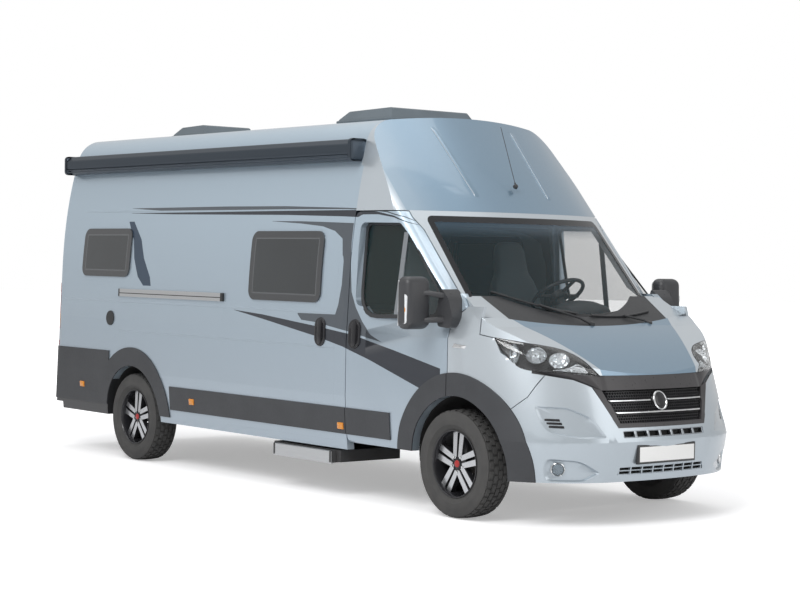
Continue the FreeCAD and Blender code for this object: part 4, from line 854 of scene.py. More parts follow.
def oval(a, b, half_a, half_b, count=36):
    """An upright outline with straight sides and round ends."""
    straight = half_b - half_a
    return [
        (x, b + z + (straight if z > 0 else -straight))
        for x, z in ellipse(a, 0.0, half_a, half_a, count)
    ]


def symmetric(right):
    """The right half of an outline with its left half."""
    return right + [(-a, b) for a, b in reversed(right)]


def grown(outline, distance):
    """An outline scaled so that each side moves out by a distance."""
    low = [min(p[i] for p in outline) for i in (0, 1)]
    high = [max(p[i] for p in outline) for i in (0, 1)]
    middle = [(low[i] + high[i]) / 2 for i in (0, 1)]
    share = [1 + 2 * distance / (high[i] - low[i]) for i in (0, 1)]
    return [tuple(middle[i] + (p[i] - middle[i]) * share[i] for i in (0, 1)) for p in outline]


def inside(point, outline):
    """Whether a point lies in a closed outline."""
    a, b = point
    hit = False
    for i, (a0, b0) in enumerate(outline):
        a1, b1 = outline[i - 1]
        if (b0 > b) != (b1 > b) and a < (a1 - a0) * (b - b0) / (b1 - b0) + a0:
            hit = not hit
    return hit


def dense(outline, pitch):
    """The same outline with more points on its long runs."""
    out = []
    for i, point in enumerate(outline):
        a, b = Vector(point), Vector(outline[(i + 1) % len(outline)])
        parts = max(1, int((b - a).length / pitch))
        out += [a.lerp(b, k / parts) for k in range(parts)]
    return out


def loop_of(bm, places):
    """A closed loop of edges through places."""
    verts = [bm.verts.new(place) for place in places]
    return [bm.edges.new((verts[i], verts[(i + 1) % len(verts)])) for i in range(len(verts))]


def bridged(bm, loops):
    """Neighbouring loops joined by faces."""
    for first, second in zip(loops, loops[1:]):
        bmesh.ops.bridge_loops(bm, edges=first + second)


def loft(bm, loops):
    """Loops joined end to end and closed at both ends."""
    bridged(bm, loops)
    for end in (loops[0], loops[-1]):
        bmesh.ops.contextual_create(bm, geom=end)


def on_skin(skin, view, outline, lift):
    """An outline's places on a surface; where no surface is met, at the usual depth."""
    depths = [skin.depth(view, a, b) for a, b in outline]
    known = sorted(depth for depth in depths if depth is not None)
    usual = known[len(known) // 2]
    return [
        view.at(a, b, (usual if depth is None else depth) - lift)
        for (a, b), depth in zip(outline, depths)
    ]


def drape(bm, skin, view, outline, rings, pitch=0.02):
    """A panel laid on a surface: rings as (share of the outline, lift), closed at the last."""
    outline = dense(outline, pitch)
    middle = sum(outline, Vector((0, 0))) / len(outline)
    loops = []
    for share, lift in rings:
        points = [middle.lerp(point, share) for point in outline]
        loops.append(loop_of(bm, on_skin(skin, view, points, lift)))
    bridged(bm, loops)
    bmesh.ops.contextual_create(bm, geom=loops[-1])
    return loops[0]


def prism(bm, view, outline, near, far):
    """An outline carried inwards between two depths, closed."""
    loft(bm, [loop_of(bm, [view.at(a, b, depth) for a, b in outline]) for depth in (near, far)])


def both_sides(bm):
    """Everything again on the other side."""
    geom = bm.verts[:] + bm.edges[:] + bm.faces[:]
    bmesh.ops.mirror(bm, geom=geom, matrix=Matrix(), merge_dist=-1.0, axis="Y")


def to_left(bm):
    """Everything moved to the left side."""
    bmesh.ops.scale(bm, vec=(1, -1, 1), verts=bm.verts)


def tube(bm, points, radius, steps=10):
    """A round bar along points."""
    points = [Vector(point) for point in points]
    loops = []
    for i, point in enumerate(points):
        ahead = points[min(i + 1, len(points) - 1)] - points[max(i - 1, 0)]
        turn = Vector((0, 0, 1)).rotation_difference(ahead).to_matrix().to_4x4()
        made = bmesh.ops.create_circle(
            bm, segments=steps, radius=radius, matrix=Matrix.Translation(point) @ turn
        )["verts"]
        loops.append(edges_of(made))
    loft(bm, loops)


def section(bm, centre, half_a, half_b, across, through, count=32, power=3.2):
    """A loop between a rectangle and an ellipse, for cushions and hoods."""
    places = []
    for k in range(count):
        c, s = math.cos(math.tau * k / count), math.sin(math.tau * k / count)
        a = math.copysign(abs(c) ** (2 / power), c) * half_a
        b = math.copysign(abs(s) ** (2 / power), s) * half_b
        places.append(Vector(centre) + Vector(across) * a + Vector(through) * b)
    return loop_of(bm, places)


def copy_of(node):
    """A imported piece's mesh as one closed surface."""
    bm = bmesh.new()
    bm.from_mesh(NODES[node].data)
    bmesh.ops.remove_doubles(bm, verts=bm.verts, dist=2e-5)
    return bm


def carve(obj, bm):
    """Cut a closed form out of a piece for good."""
    bmesh.ops.recalc_face_normals(bm, faces=bm.faces)
    mesh = bpy.data.meshes.new("cutter")
    bm.to_mesh(mesh)
    bm.free()
    cutter = bpy.data.objects.new("cutter", mesh)
    bpy.context.scene.collection.objects.link(cutter)
    modifier = obj.modifiers.new("cut", "BOOLEAN")
    modifier.solver = "EXACT"
    modifier.object = cutter
    graph = bpy.context.evaluated_depsgraph_get()
    made = bpy.data.meshes.new_from_object(obj.evaluated_get(graph))
    obj.modifiers.clear()
    obj.data = made
    bpy.data.objects.remove(cutter)


def laid(name, look, slot, skin, view, panels, body="body", smooth=40.0, pair=False, replaces=()):
    """A piece made of draped panels, each an outline, its rings and perhaps a pitch."""
    bm = bmesh.new()
    for outline, rings, *pitch in panels:
        drape(bm, skin, view, outline, rings, *pitch)
    if pair:
        both_sides(bm)
    return piece(name, bm, look, body, smooth, replaces, slot)


NOSE_NODES = ("bonnet", "front_wings", "front_bumper", "front_lamps", "grilles")

# Outlines of the nose, seen from its right corner
LAMP_OUTLINE = rounded(
    [(1.127, 1.192), (1.400, 1.154), (1.560, 1.125), (1.700, 1.060), (1.808, 0.958),
     (1.660, 0.968), (1.367, 0.987), (1.288, 1.003), (1.172, 1.108)],
    [0.012, 0, 0.12, 0.08, 0.004, 0, 0.06, 0.06, 0.06],
)
SIGNAL_OUTLINE = rounded(
    [(1.50, 0.992), (1.735, 0.972), (1.70, 1.015), (1.655, 1.035), (1.60, 1.005)], 0.02
)
VENT_OUTLINE = rounded(
    [(1.394, 0.770), (1.600, 0.765), (1.765, 0.700), (1.860, 0.575), (1.693, 0.572),
     (1.500, 0.604), (1.440, 0.660)],
    [0.022, 0.03, 0.06, 0.02, 0.06, 0.05, 0.06],
)
FOG_OUTLINE = rounded(
    [(1.475, 0.445), (1.700, 0.432), (1.822, 0.352), (1.718, 0.298), (1.480, 0.300),
     (1.455, 0.365)],
    [0.035, 0.06, 0.015, 0.03, 0.03, 0.06],
)
FOG_RING = ellipse(1.552, 0.374, 0.046, 0.046, 32)
# Centre and half sizes of the three reflector chambers
CHAMBERS = (
    (1.262, 1.088, 0.033, 0.062), (1.400, 1.082, 0.066, 0.052), (1.545, 1.052, 0.066, 0.048),
)
BULB_RADIUS = 0.016

# Outlines of the grilles, seen from the front
MOUTH_TOP, MOUTH_FOOT = 0.868, 0.659
MOUTH_FOOT_HALF, MOUTH_SPREAD = 0.376, 0.086
BAND = symmetric([
    (0.470, 0.958), (0.838, 0.988), (0.842, 0.972), (0.640, 0.934), (0.528, 0.888), (0.400, 0.633),
])
MOUTH = symmetric([(0.475, MOUTH_TOP + 0.012), (0.388, MOUTH_FOOT - 0.012)])
INTAKE = symmetric([(0.380, 0.387), (0.402, 0.333)])
SLOT_HALF, SLOT_LOW, SLOT_HIGH = 0.372, 0.571, 0.615
SLOTS = 7
RING_Z = 0.797

# What is cut from the nose: view, outline, the cut's near and far depth, and its nodes
OPENINGS = (
    (CORNER, LAMP_OUTLINE, 0.3, 1.62, ("bonnet", "front_wings", "front_bumper")),
    (CORNER, VENT_OUTLINE, 0.3, 1.25, ("front_bumper",)),
    (CORNER, FOG_OUTLINE, 0.3, 1.25, ("front_bumper",)),
    (FRONT, BAND, 0.2, 1.35, ("front_bumper", "front_wings")),
)


def make_nose():
    """The bonnet, wings and bumper opened for lamps, vents, fog bays and grille."""
    for node, body, look in (
        ("bonnet", "bonnet", "nose_paint"),
        ("front_wings", "body", "silver_paint"),
        ("front_bumper", "body", "silver_paint"),
    ):
        obj = piece("nose_" + node, copy_of(node), look, body, 30.0, [node], "paint")
        for view, outline, near, far, nodes in OPENINGS:
            if node in nodes:
                cutter = bmesh.new()
                prism(cutter, view, outline, near, far)
                if view is CORNER:
                    both_sides(cutter)
                carve(obj, cutter)
        for polygon in obj.data.polygons:
            polygon.use_smooth = True
        sharpen(obj.data, 22)


def make_lamps(skin):
    """Headlamps: a black bowl, chrome chambers, bulbs and a clear cover."""
    def lamp_part(name, look, slot, panels, smooth, replaces=()):
        return laid(
            name, look, slot, skin, CORNER, panels, smooth=smooth, pair=True, replaces=replaces
        )

    bowl = [(1.0, -0.002), (0.985, -0.03), (0.95, -0.075), (0.4, -0.085)]
    lamp_part("lamp_bowls", "gloss_black", "dark_plastic", [(LAMP_OUTLINE, bowl)], 40.0,
              ["front_lamps"])
    dish = [
        (1.0, -0.022), (0.97, -0.020), (0.90, -0.034), (0.7, -0.055), (0.45, -0.068), (0.2, -0.074)
    ]
    signal = [(1.0, -0.028), (0.96, -0.026), (0.6, -0.045), (0.2, -0.05)]
    panels = [(ellipse(*chamber, 28), dish) for chamber in CHAMBERS]
    lamp_part("lamp_reflectors", "chrome", "aluminium", panels + [(SIGNAL_OUTLINE, signal)], 50.0)
    bulb = [(1.0, -0.072), (0.95, -0.05), (0.6, -0.042), (0.2, -0.040)]
    panels = [(ellipse(s, z, BULB_RADIUS, BULB_RADIUS, 16), bulb) for s, z, *_ in CHAMBERS]
    lamp_part("lamp_bulbs", "clear_lens", "clear_lens", panels, 50.0)
    glass = [(0.995, -0.0015), (0.97, 0.0005), (0.8, 0.0015), (0.5, 0.002), (0.2, 0.002)]
    cover = lamp_part("lamp_covers", "clear_lens", "clear_lens", [(LAMP_OUTLINE, glass)], 60.0)
    wall = cover.modifiers.new("wall", "SOLIDIFY")
    wall.thickness = 0.0025
    wall.offset = -1.0


def make_bays(skin):
    """The bumper's vents with their slots, and the fog lamp bays."""
    vent = [(1.0, 0.0002), (0.985, -0.001), (0.93, -0.008), (0.86, -0.016), (0.4, -0.018)]
    bay = [(1.0, 0.0002), (0.98, -0.001), (0.92, -0.010), (0.84, -0.022), (0.3, -0.026)]
    slot = [(1.0, -0.0165), (0.92, -0.015), (0.3, -0.015)]
    slots = []
    for i in range(3):
        z, s = 0.690 - 0.021 * i, 1.462 + 0.014 * i
        corners = [(s, z - 0.011), (s + 0.1, z - 0.014), (s + 0.095, z + 0.001), (s, z + 0.003)]
        slots.append((rounded(corners, 0.004), slot))
    rim = [(1.0, -0.024), (0.99, -0.012), (0.90, -0.009), (0.80, -0.013), (0.78, -0.02)]
    lens = [(0.82, -0.016), (0.7, -0.010), (0.3, -0.007)]
    for name, look, kind, panels in (
        ("bumper_bays", "silver_paint", "paint", [(VENT_OUTLINE, vent), (FOG_OUTLINE, bay)]),
        ("vent_slots", "gloss_black", "black_plastic", slots),
        ("fog_rings", "chrome", "aluminium", [(FOG_RING, rim)]),
        ("fog_lenses", "smoked_lens", "clear_lens", [(FOG_RING, lens)]),
    ):
        laid(name, look, kind, skin, CORNER, panels, smooth=50.0, pair=True)


def mouth_point(a, b):
    """Where a point of the band's outer edge meets the grille's mouth."""
    if abs(a) > 0.455 and b > 0.86:
        return math.copysign(min(abs(a), MOUTH_FOOT_HALF + MOUTH_SPREAD), a), min(b, MOUTH_TOP)
    if b > 0.9:
        return a, MOUTH_TOP
    if b < 0.64:
        return a * 0.94, MOUTH_FOOT
    share = min(max((b - MOUTH_FOOT) / (MOUTH_TOP - MOUTH_FOOT), 0.0), 1.0)
    half = MOUTH_FOOT_HALF + MOUTH_SPREAD * share
    return math.copysign(half, a), min(max(b, MOUTH_FOOT), MOUTH_TOP)


def make_band(skin):
    """The satin band from lamp to lamp, turned inwards round the grille's mouth."""
    outer = dense(BAND, 0.02)
    inner = [mouth_point(a, b) for a, b in outer]
    bm = bmesh.new()
    bridged(bm, [
        loop_of(bm, on_skin(skin, FRONT, outline, lift))
        for outline, lift in ((outer, -0.013), (outer, -0.001), (inner, -0.001), (inner, -0.036))
    ])
    piece("grille_band", bm, "satin_grey", "body", 40.0, ["grilles"], "dark_plastic")


def make_honeycomb(skin):
    """Six-sided cells across the mouth, on the nose's bow, with a black back."""
    pitch, wall, setback, depth, per_side = 0.0205, 0.0028, 0.016, 0.02, 25
    row_step = pitch * math.sqrt(3) / 2
    turn = Matrix.Rotation(math.radians(90), 4, "Y")
    bm = bmesh.new()
    for row in range(int((MOUTH_TOP - MOUTH_FOOT) / row_step) + 2):
        z = MOUTH_FOOT - 0.008 + row * row_step
        for k in range(-per_side, per_side + 1):
            y = k * pitch + (pitch / 2 if row % 2 else 0)
            if inside((y, z), MOUTH):
                bmesh.ops.create_circle(
                    bm, cap_ends=True, segments=6, radius=pitch / math.sqrt(3),
                    matrix=Matrix.Translation((0, y, z)) @ turn,
                )
    bmesh.ops.remove_doubles(bm, verts=bm.verts, dist=0.001)
    bmesh.ops.inset_individual(bm, faces=bm.faces[:], thickness=wall)
    bmesh.ops.delete(bm, geom=[f for f in bm.faces if len(f.verts) == 6], context="FACES")
    for vert in bm.verts:
        a, b = vert.co.y, vert.co.z
        vert.co.x = FRONT.at(a, b, skin.depth(FRONT, a, b) + setback).x
    made = bmesh.ops.extrude_face_region(bm, geom=bm.faces[:])["geom"]
    moved = [g for g in made if isinstance(g, bmesh.types.BMVert)]
    bmesh.ops.translate(bm, vec=(-depth, 0, 0), verts=moved)
    piece("grille_mesh", bm, "gloss_black", "body", 30.0, slot="black_plastic")
    back = [(1.0, -0.045), (0.7, -0.045), (0.3, -0.045)]
    laid("grille_back", "liner", "black_plastic", skin, FRONT, [(MOUTH, back)])


def make_bars_and_ring(skin, radius):
    """Two slim bars, the upper one broken by the plain ring."""
    bar = [(1.0, -0.016), (0.97, -0.004), (0.5, -0.002)]
    panels = []
    for z, start, end in ((0.802, 0.078, 0.425), (0.727, 0.0, 0.392)):
        panels.append((rect(-end, -start, z - 0.0045, z + 0.0045, 0.003), bar))
        panels.append((rect(start, end, z - 0.0045, z + 0.0045, 0.003), bar))
    laid("grille_bars", "chrome", "aluminium", skin, FRONT, panels)
    outline = ellipse(0.0, RING_Z, radius, radius, 48)
    ring = [(1.0, -0.014), (1.0, 0.0), (0.95, 0.005), (0.88, 0.006), (0.82, 0.002), (0.80, -0.006)]
    laid("plain_ring", "chrome", "aluminium", skin, FRONT, [(outline, ring)], smooth=50.0)
    middle = [(0.81, -0.004), (0.7, 0.0), (0.3, 0.001)]
    laid(
        "ring_middle", "gloss_black", "black_plastic", skin, FRONT, [(outline, middle)],
        smooth=50.0,
    )


def make_lower_grilles(skin):
    """The row of slots and the intake, each with its dark back and its ribs."""
    back = [(1.0, -0.03), (0.3, -0.032)]
    panels = [(rect(-SLOT_HALF, SLOT_HALF, SLOT_LOW, SLOT_HIGH), back), (INTAKE, back)]
    laid("grille_backs", "liner", "black_plastic", skin, FRONT, panels)
    post = [(1.0, -0.024), (0.98, -0.003), (0.3, -0.002)]
    rib = [(1.0, -0.02), (0.98, -0.003), (0.3, -0.002)]
    slots = []
    for i in range(SLOTS + 1):
        y = SLOT_HALF * (2 * i / SLOTS - 1)
        low, high = max(y - 0.011, -SLOT_HALF), min(y + 0.011, SLOT_HALF)
        slots.append((rect(low, high, SLOT_LOW, SLOT_HIGH), post, 0.01))
    for low in (SLOT_LOW, SLOT_HIGH - 0.006):
        slots.append((rect(-SLOT_HALF, SLOT_HALF, low, low + 0.006), rib))
    rows = ((0.333, 0.340), (0.3575, 0.3645), (0.381, 0.387))
    intake = [(rect(-0.39, 0.39, low, high), rib) for low, high in rows]
    for i in range(9):
        y = -0.384 + i * 0.096
        intake.append((rect(y - 0.005, y + 0.005, 0.333, 0.387), rib))
    laid("slot_ribs", "satin_silver", "aluminium", skin, FRONT, slots)
    laid("intake_ribs", "silver_paint", "paint", skin, FRONT, intake)


def make_plate(look):
    """A blank number plate in a plain dark frame."""
    wide, tall, margin = look.plate_width / 2, look.plate_height / 2, 0.007
    bm = bmesh.new()
    block(
        bm, (3.150, -wide - margin, PLATE_Z - tall - margin),
        (3.172, wide + margin, PLATE_Z + tall + margin), 0.004,
    )
    piece("plate_frame", bm, "black_plastic", "body", 40.0, slot="black_plastic")
    bm = bmesh.new()
    block(bm, (3.160, -wide, PLATE_Z - tall), (3.1745, wide, PLATE_Z + tall), 0.004, 3)
    piece("blank_plate", bm, "plate_white", "body", 40.0, slot="white_plastic")


def make_handles():
    """Oval door handles with an upright grip."""
    cup = [(1.0, 0.0), (0.97, 0.008), (0.80, 0.010), (0.72, 0.004), (0.60, 0.0015), (0.2, 0.001)]
    grip = [(1.0, 0.001), (0.95, 0.014), (0.7, 0.018), (0.3, 0.019)]
    for name, x, node, body in (
        ("slide", 0.784, "sliding_door", "body"),
        ("cab_right", 1.175, "cab_door_right", "cab_door_right"),
        ("cab_left", 1.175, "cab_door_right", "cab_door_left"),
    ):
        skin = Skin(node)
        bm = bmesh.new()
        drape(bm, skin, RIGHT, oval(x, HANDLE_Z, 0.062, 0.103), cup)
        drape(bm, skin, RIGHT, oval(x, HANDLE_Z, 0.020, 0.094), grip)
        if body == "cab_door_left":
            to_left(bm)
        piece("handle_" + name, bm, "gloss_black", body, 50.0, slot="black_plastic")


def make_markers():
    """Amber side markers on the cladding."""
    raised = [(1.0, 0.0), (0.96, 0.006), (0.8, 0.008), (0.2, 0.008)]
    laid(
        "side_markers", "amber_lens", "clear_lens",
        Skin("side_trims", "rear_bumper", "side_wall_right"), RIGHT,
        [
            (rect(x - 0.034, x + 0.034, z - 0.024, z + 0.024, 0.008), raised)
            for x, z in ((-2.604, 0.577), (-0.889, 0.540), (1.035, 0.509))
        ],
        pair=True,
    )


MIRROR_LOW, MIRROR_HIGH = (1.958, -1.288, 1.224), (2.094, -1.088, 1.568)


def mirror_shell(bm):
    """A triangular foot, two arms and the tall head, slimmer at its top and bottom."""
    foot = [
        (2.105, 1.245), (2.235, 1.235), (2.258, 1.31), (2.215, 1.43), (2.135, 1.50), (2.11, 1.40)
    ]
    prism(bm, RIGHT, rounded(foot, 0.03), 0.945, 1.085)
    for z0, z1 in ((1.290, 1.285), (1.448, 1.460)):
        arm = [(2.17, -1.0, z0), (2.15, -1.07, z0), (2.09, -1.13, z1), (2.045, -1.18, z1)]
        tube(bm, arm, 0.019, 14)
    block(bm, MIRROR_LOW, MIRROR_HIGH, 0.045, 5)
    for vert in bm.verts:
        if vert.co.y < -1.086 and vert.co.x > 2.02:
            rise = (vert.co.z - MIRROR_LOW[2]) / (MIRROR_HIGH[2] - MIRROR_LOW[2])
            vert.co.x -= 0.072 * max(rise - 0.75, 0) + 0.16 * max(0.12 - rise, 0)


def mirror_pane(bm, low, high):
    """One of the two panes, between two heights."""
    block(bm, (1.9555, -1.268, low), (1.964, -1.108, high), 0.004, 3)


def make_mirror(hand, side):
    """A two-armed mirror with an indicator and two panes."""
    shell, lamp, upper, lower = (bmesh.new() for _ in range(4))
    mirror_shell(shell)
    prism(lamp, RIGHT, rect(2.012, 2.070, 1.262, 1.452, 0.02), 0.713, 0.730)
    mirror_pane(upper, 1.335, 1.540)
    mirror_pane(lower, 1.245, 1.322)
    for name, bm, look, gone, slot in (
        ("shell_", shell, "mirror_black", [f"mirror_{hand}"], "black_plastic"),
        ("lamp_", lamp, "clear_amber", [], "clear_lens"),
        ("glass_upper_", upper, "mirror_silver", [], "glass"),
        ("glass_lower_", lower, "mirror_silver", [], "glass"),
    ):
        if side > 0:
            to_left(bm)
        piece(f"mirror_{name}{hand}", bm, look, f"cab_door_{hand}", 40.0, gone, slot)


# The cab door's window, seen from the right
CAB_WINDOW = rounded(
    [(1.222, 1.274), (2.040, 1.300), (2.075, 1.420), (1.665, 1.850), (1.580, 1.925),
     (1.168, 1.930)],
    [0.19, 0.03, 0.02, 0.05, 0.04, 0.045],
)
PANE_THICKNESS = 0.004


def window_pane(bm):
    """The cab window's sheet of glass, with its edge and its inner face."""
    rim = drape(bm, Tilt(), RIGHT, grown(CAB_WINDOW, 0.008), [(1.0, 0.0), (0.5, 0.0)])
    rear = loop_of(bm, [edge.verts[0].co + RIGHT.into * PANE_THICKNESS for edge in rim])
    bmesh.ops.bridge_loops(bm, edges=rim + rear)
    bmesh.ops.contextual_create(bm, geom=rear)


def make_cab_windows():
    """Cab doors opened to the drawn window, with its pane, divider and black frame."""
    for hand, side in SIDES.items():
        body = f"cab_door_{hand}"
        door = piece(
            "door_skin_" + hand, copy_of(body), "striped_paint", body, 30.0, [body], "paint"
        )
        hole, pane, divider, frame, mouth = (bmesh.new() for _ in range(5))
        prism(hole, RIGHT, CAB_WINDOW, 0.93, 1.17)
        window_pane(pane)
        bar = [(1.0, -0.001), (0.98, 0.005), (0.3, 0.005)]
        drape(divider, Tilt(), RIGHT, rect(1.588, 1.636, 1.288, 1.868), bar)
        prism(frame, RIGHT, grown(CAB_WINDOW, 0.006), Tilt.near - 0.008, Tilt.near)
        prism(mouth, RIGHT, grown(CAB_WINDOW, -0.020), 0.9, 1.1)
        if side > 0:
            for bm in (hole, pane, divider, frame, mouth):
                to_left(bm)
        carve(door, hole)
        sharpen(door.data, 30)
        piece("door_pane_" + hand, pane, "tinted_glass", body, 40.0, [f"cab_glass_{hand}"], "glass")
        piece("door_divider_" + hand, divider, "satin_silver", body, 40.0, slot="black_plastic")
        obj = piece("door_frame_" + hand, frame, "black_plastic", body, 40.0, slot="black_plastic")
        carve(obj, mouth)
        for vert in obj.data.vertices:
            vert.co.y -= side * Tilt.slope * (vert.co.z - Tilt.foot)
        sharpen(obj.data, 40)


def make_tail():
    """Rear door hinges and handle, and the high lamp."""
    hinge = [(1.0, 0.0), (0.94, 0.009), (0.3, 0.010)]
    for hand, side in SIDES.items():
        body = f"rear_door_{hand}"
        panels = []
        for y, z in ((0.775, 0.80), (0.765, 1.30), (0.73, 1.90)):
            y *= side
            panels.append((rect(y - 0.018, y + 0.018, z - 0.045, z + 0.045, 0.008), hinge))
        look = "black_plastic"
        laid("rear_hinges_" + hand, look, look, Skin(body), REAR, panels, body)
    panels = []
    for outline, lift in (
        (rect(-0.175, -0.045, 1.150, 1.250, 0.012), 0.007),
        (rect(-0.160, -0.060, 1.185, 1.215, 0.012), 0.016),
    ):
        panels.append((outline, [(1.0, 0.0), (0.94, lift), (0.3, lift)]))
    body = "rear_door_right"
    laid("rear_handle", "black_plastic", "black_plastic", Skin(body), REAR, panels, body)
    lens = [(1.0, 0.0), (0.95, 0.006), (0.3, 0.008)]
    panels = [(rect(-0.16, 0.16, 2.505, 2.535, 0.01), lens)]
    laid("high_lamp", "red_lens", "red_lens", Skin("rear_frame"), REAR, panels)


def make_step():
    """Ribs along the step's tread, its front edge, and the brackets at its ends."""
    bm = bmesh.new()
    for k in range(9):
        y = -1.018 + k * 0.042
        block(bm, (0.268, y, 0.314), (0.912, y + 0.018, 0.3235), 0.003, 2)
    block(bm, (0.262, -1.0295, 0.286), (0.918, -1.014, 0.3215), 0.004, 2)
    piece("step_ribs", bm, "anodised", "entry_step", 40.0, slot="aluminium")
    bm = bmesh.new()
    for x in (0.234, 0.916):
        block(bm, (x, -1.031, 0.24), (x + 0.030, -0.66, 0.325), 0.006, 2)
    piece("step_brackets", bm, "black_step", "entry_step", 40.0, slot="black_plastic")


def make_roof():
    """The awning's ends and front lines, and the hatches' rims and ridges."""
    bm = bmesh.new()
    for x in (-3.022, 1.030):
        block(bm, (x, -0.994, 2.358), (x + 0.030, -0.846, 2.518), 0.03, 4)
    for y, z in ((-0.9935, 2.392), (-0.9915, 2.375)):
        block(bm, (-2.98, y, z), (1.02, y + 0.0085, z + 0.008), 0.002, 1)
    piece("awning_parts", bm, "awning_case", "body", 40.0, slot="dark_plastic")
    bm = bmesh.new()
    for x0, x1, half in ((0.115, 0.785, 0.415), (-2.435, -1.935, 0.285)):
        block(bm, (x0, -half, 2.690), (x1, half, 2.712), 0.008, 2)
        for y in (-half / 2, 0.0, half / 2):
            block(bm, (x0 + 0.08, y - 0.012, 2.78), (x1 - 0.08, y + 0.012, 2.7895), 0.004, 2)
    piece("hatch_parts", bm, "hatch_plastic", "body", 40.0, slot="dark_plastic")


# Sections of the instrument hood: y, half length and half height
HOOD = (
    (0.225, 0.06, 0.06), (0.24, 0.10, 0.080), (0.34, 0.125, 0.105), (0.43, 0.13, 0.110),
    (0.52, 0.125, 0.105), (0.62, 0.10, 0.080), (0.635, 0.06, 0.06),
)


def make_dash():
    """Instrument hood, vents, screen and grilles seated on the dashboard."""
    skin = Skin("dashboard")
    bm = bmesh.new()
    hood_z = ABOVE_START + 0.055 - skin.depth(ABOVE, 1.93, 0.43)
    loft(bm, [
        section(bm, (1.93, y, hood_z), length, height, (1, 0, -0.12), (0.12, 0, 1), 28, 2.6)
        for y, length, height in HOOD
    ])
    bezel = [(1.0, 0.0), (0.95, 0.008), (0.85, 0.008), (0.8, 0.001), (0.3, 0.001)]
    slat = [(1.0, 0.0), (0.9, 0.006), (0.3, 0.006)]
    for y in (-0.72, -0.12, 0.12, 0.74):
        drape(bm, skin, CABIN, rect(y - 0.07, y + 0.07, 1.108, 1.178, 0.015), bezel)
        for k in range(3):
            z = 1.123 + k * 0.016
            drape(bm, skin, CABIN, rect(y - 0.054, y + 0.054, z, z + 0.006), slat)
    screen = [(1.0, 0.0), (0.96, 0.012), (0.3, 0.012)]
    drape(bm, skin, CABIN, rect(-0.13, 0.13, 0.99, 1.09, 0.012), screen)
    for k in range(5):
        x = 1.95 + k * 0.03
        outline = rect(x, x + 0.012, -0.60, -0.18)
        drape(bm, skin, ABOVE, outline, [(1.0, 0.0), (0.9, 0.005), (0.3, 0.005)])
    piece("dash_parts", bm, "dash_plastic", "body", 40.0, slot="dark_plastic")


SPOKE_PAIRS = 5
HUB_REACH, RIM_REACH = 0.045, 0.2075
# The barrel's wall as (across, radius)
BARREL = [
    (0.094, 0.2205), (0.094, 0.214), (0.086, 0.2085), (0.05, 0.204), (-0.06, 0.196),
    (-0.088, 0.206), (-0.094, 0.214), (-0.094, 0.2215), (-0.085, 0.2135), (-0.055, 0.2035),
    (0.05, 0.2105), (0.084, 0.2165),
]


def spoke(bm, angle, sign, half, front, rear):
    """One bar of a pair, from the hub out to the rim, a little wider and lower there."""
    inner, outer = sign * 0.0245, sign * 0.0325
    corners = (
        (HUB_REACH, inner - half * 0.86, 0.0), (HUB_REACH, inner + half * 0.86, 0.0),
        (RIM_REACH, outer + half * 1.1, 0.010), (RIM_REACH, outer - half * 1.1, 0.010),
    )
    turn = Matrix.Rotation(angle, 3, "Y")
    loft(bm, [
        loop_of(bm, [turn @ Vector((across, depth - dip, reach)) for reach, across, dip in corners])
        for depth in (rear, front)
    ])


def make_wheel(end, hand, x, y, side):
    """The alloy wheel: barrel, paired spokes, bolts and a plain red cap."""
    name = f"{end}_{hand}"
    axis = Vector((0, 1, 0))
    black, bright, bolts, cap = (bmesh.new() for _ in range(4))
    lathe(black, BARREL, 96)
    drum(black, axis * 0.038, axis, 0.079, 0.04, 48, bevel=0.004)
    for pair in range(SPOKE_PAIRS):
        angle = math.tau * pair / SPOKE_PAIRS
        for sign in (-1, 1):
            spoke(bright, angle, sign, 0.0190, 0.0665, 0.030)
            spoke(black, angle, sign, 0.0208, 0.060, 0.026)
        seat = Matrix.Rotation(angle + math.pi / SPOKE_PAIRS, 3, "Y") @ Vector((0, 0.060, 0.054))
        drum(black, seat - axis * 0.004, axis, 0.017, 0.012, 24, bevel=0.002)
        drum(bolts, seat + axis * 0.004, axis, 0.0105, 0.016, 6, 0.92, bevel=0.0015)
        drum(bolts, seat, axis, 0.0135, 0.006, 24, bevel=0.001)
    drum(black, axis * 0.058, axis, 0.034, 0.018, 40, bevel=0.003)
    drum(cap, axis * 0.068, axis, 0.0245, 0.008, 40, 0.9, bevel=0.0025)
    for start, bm, look, gone, slot in (
        ("rim_body_", black, "gloss_black", [f"rim_{name}"], "alloy"),
        ("rim_spokes_", bright, "alloy", [], "alloy"),
        ("wheel_bolts_", bolts, "chrome", [], "steel"),
        ("wheel_cap_", cap, "red_cap", [], "alloy"),
    ):
        if side < 0:
            to_left(bm)
        bmesh.ops.translate(bm, vec=(x, side * y, AXLE_Z), verts=bm.verts)
        piece(start + name, bm, look, "wheel_" + name, 35.0, gone, slot)


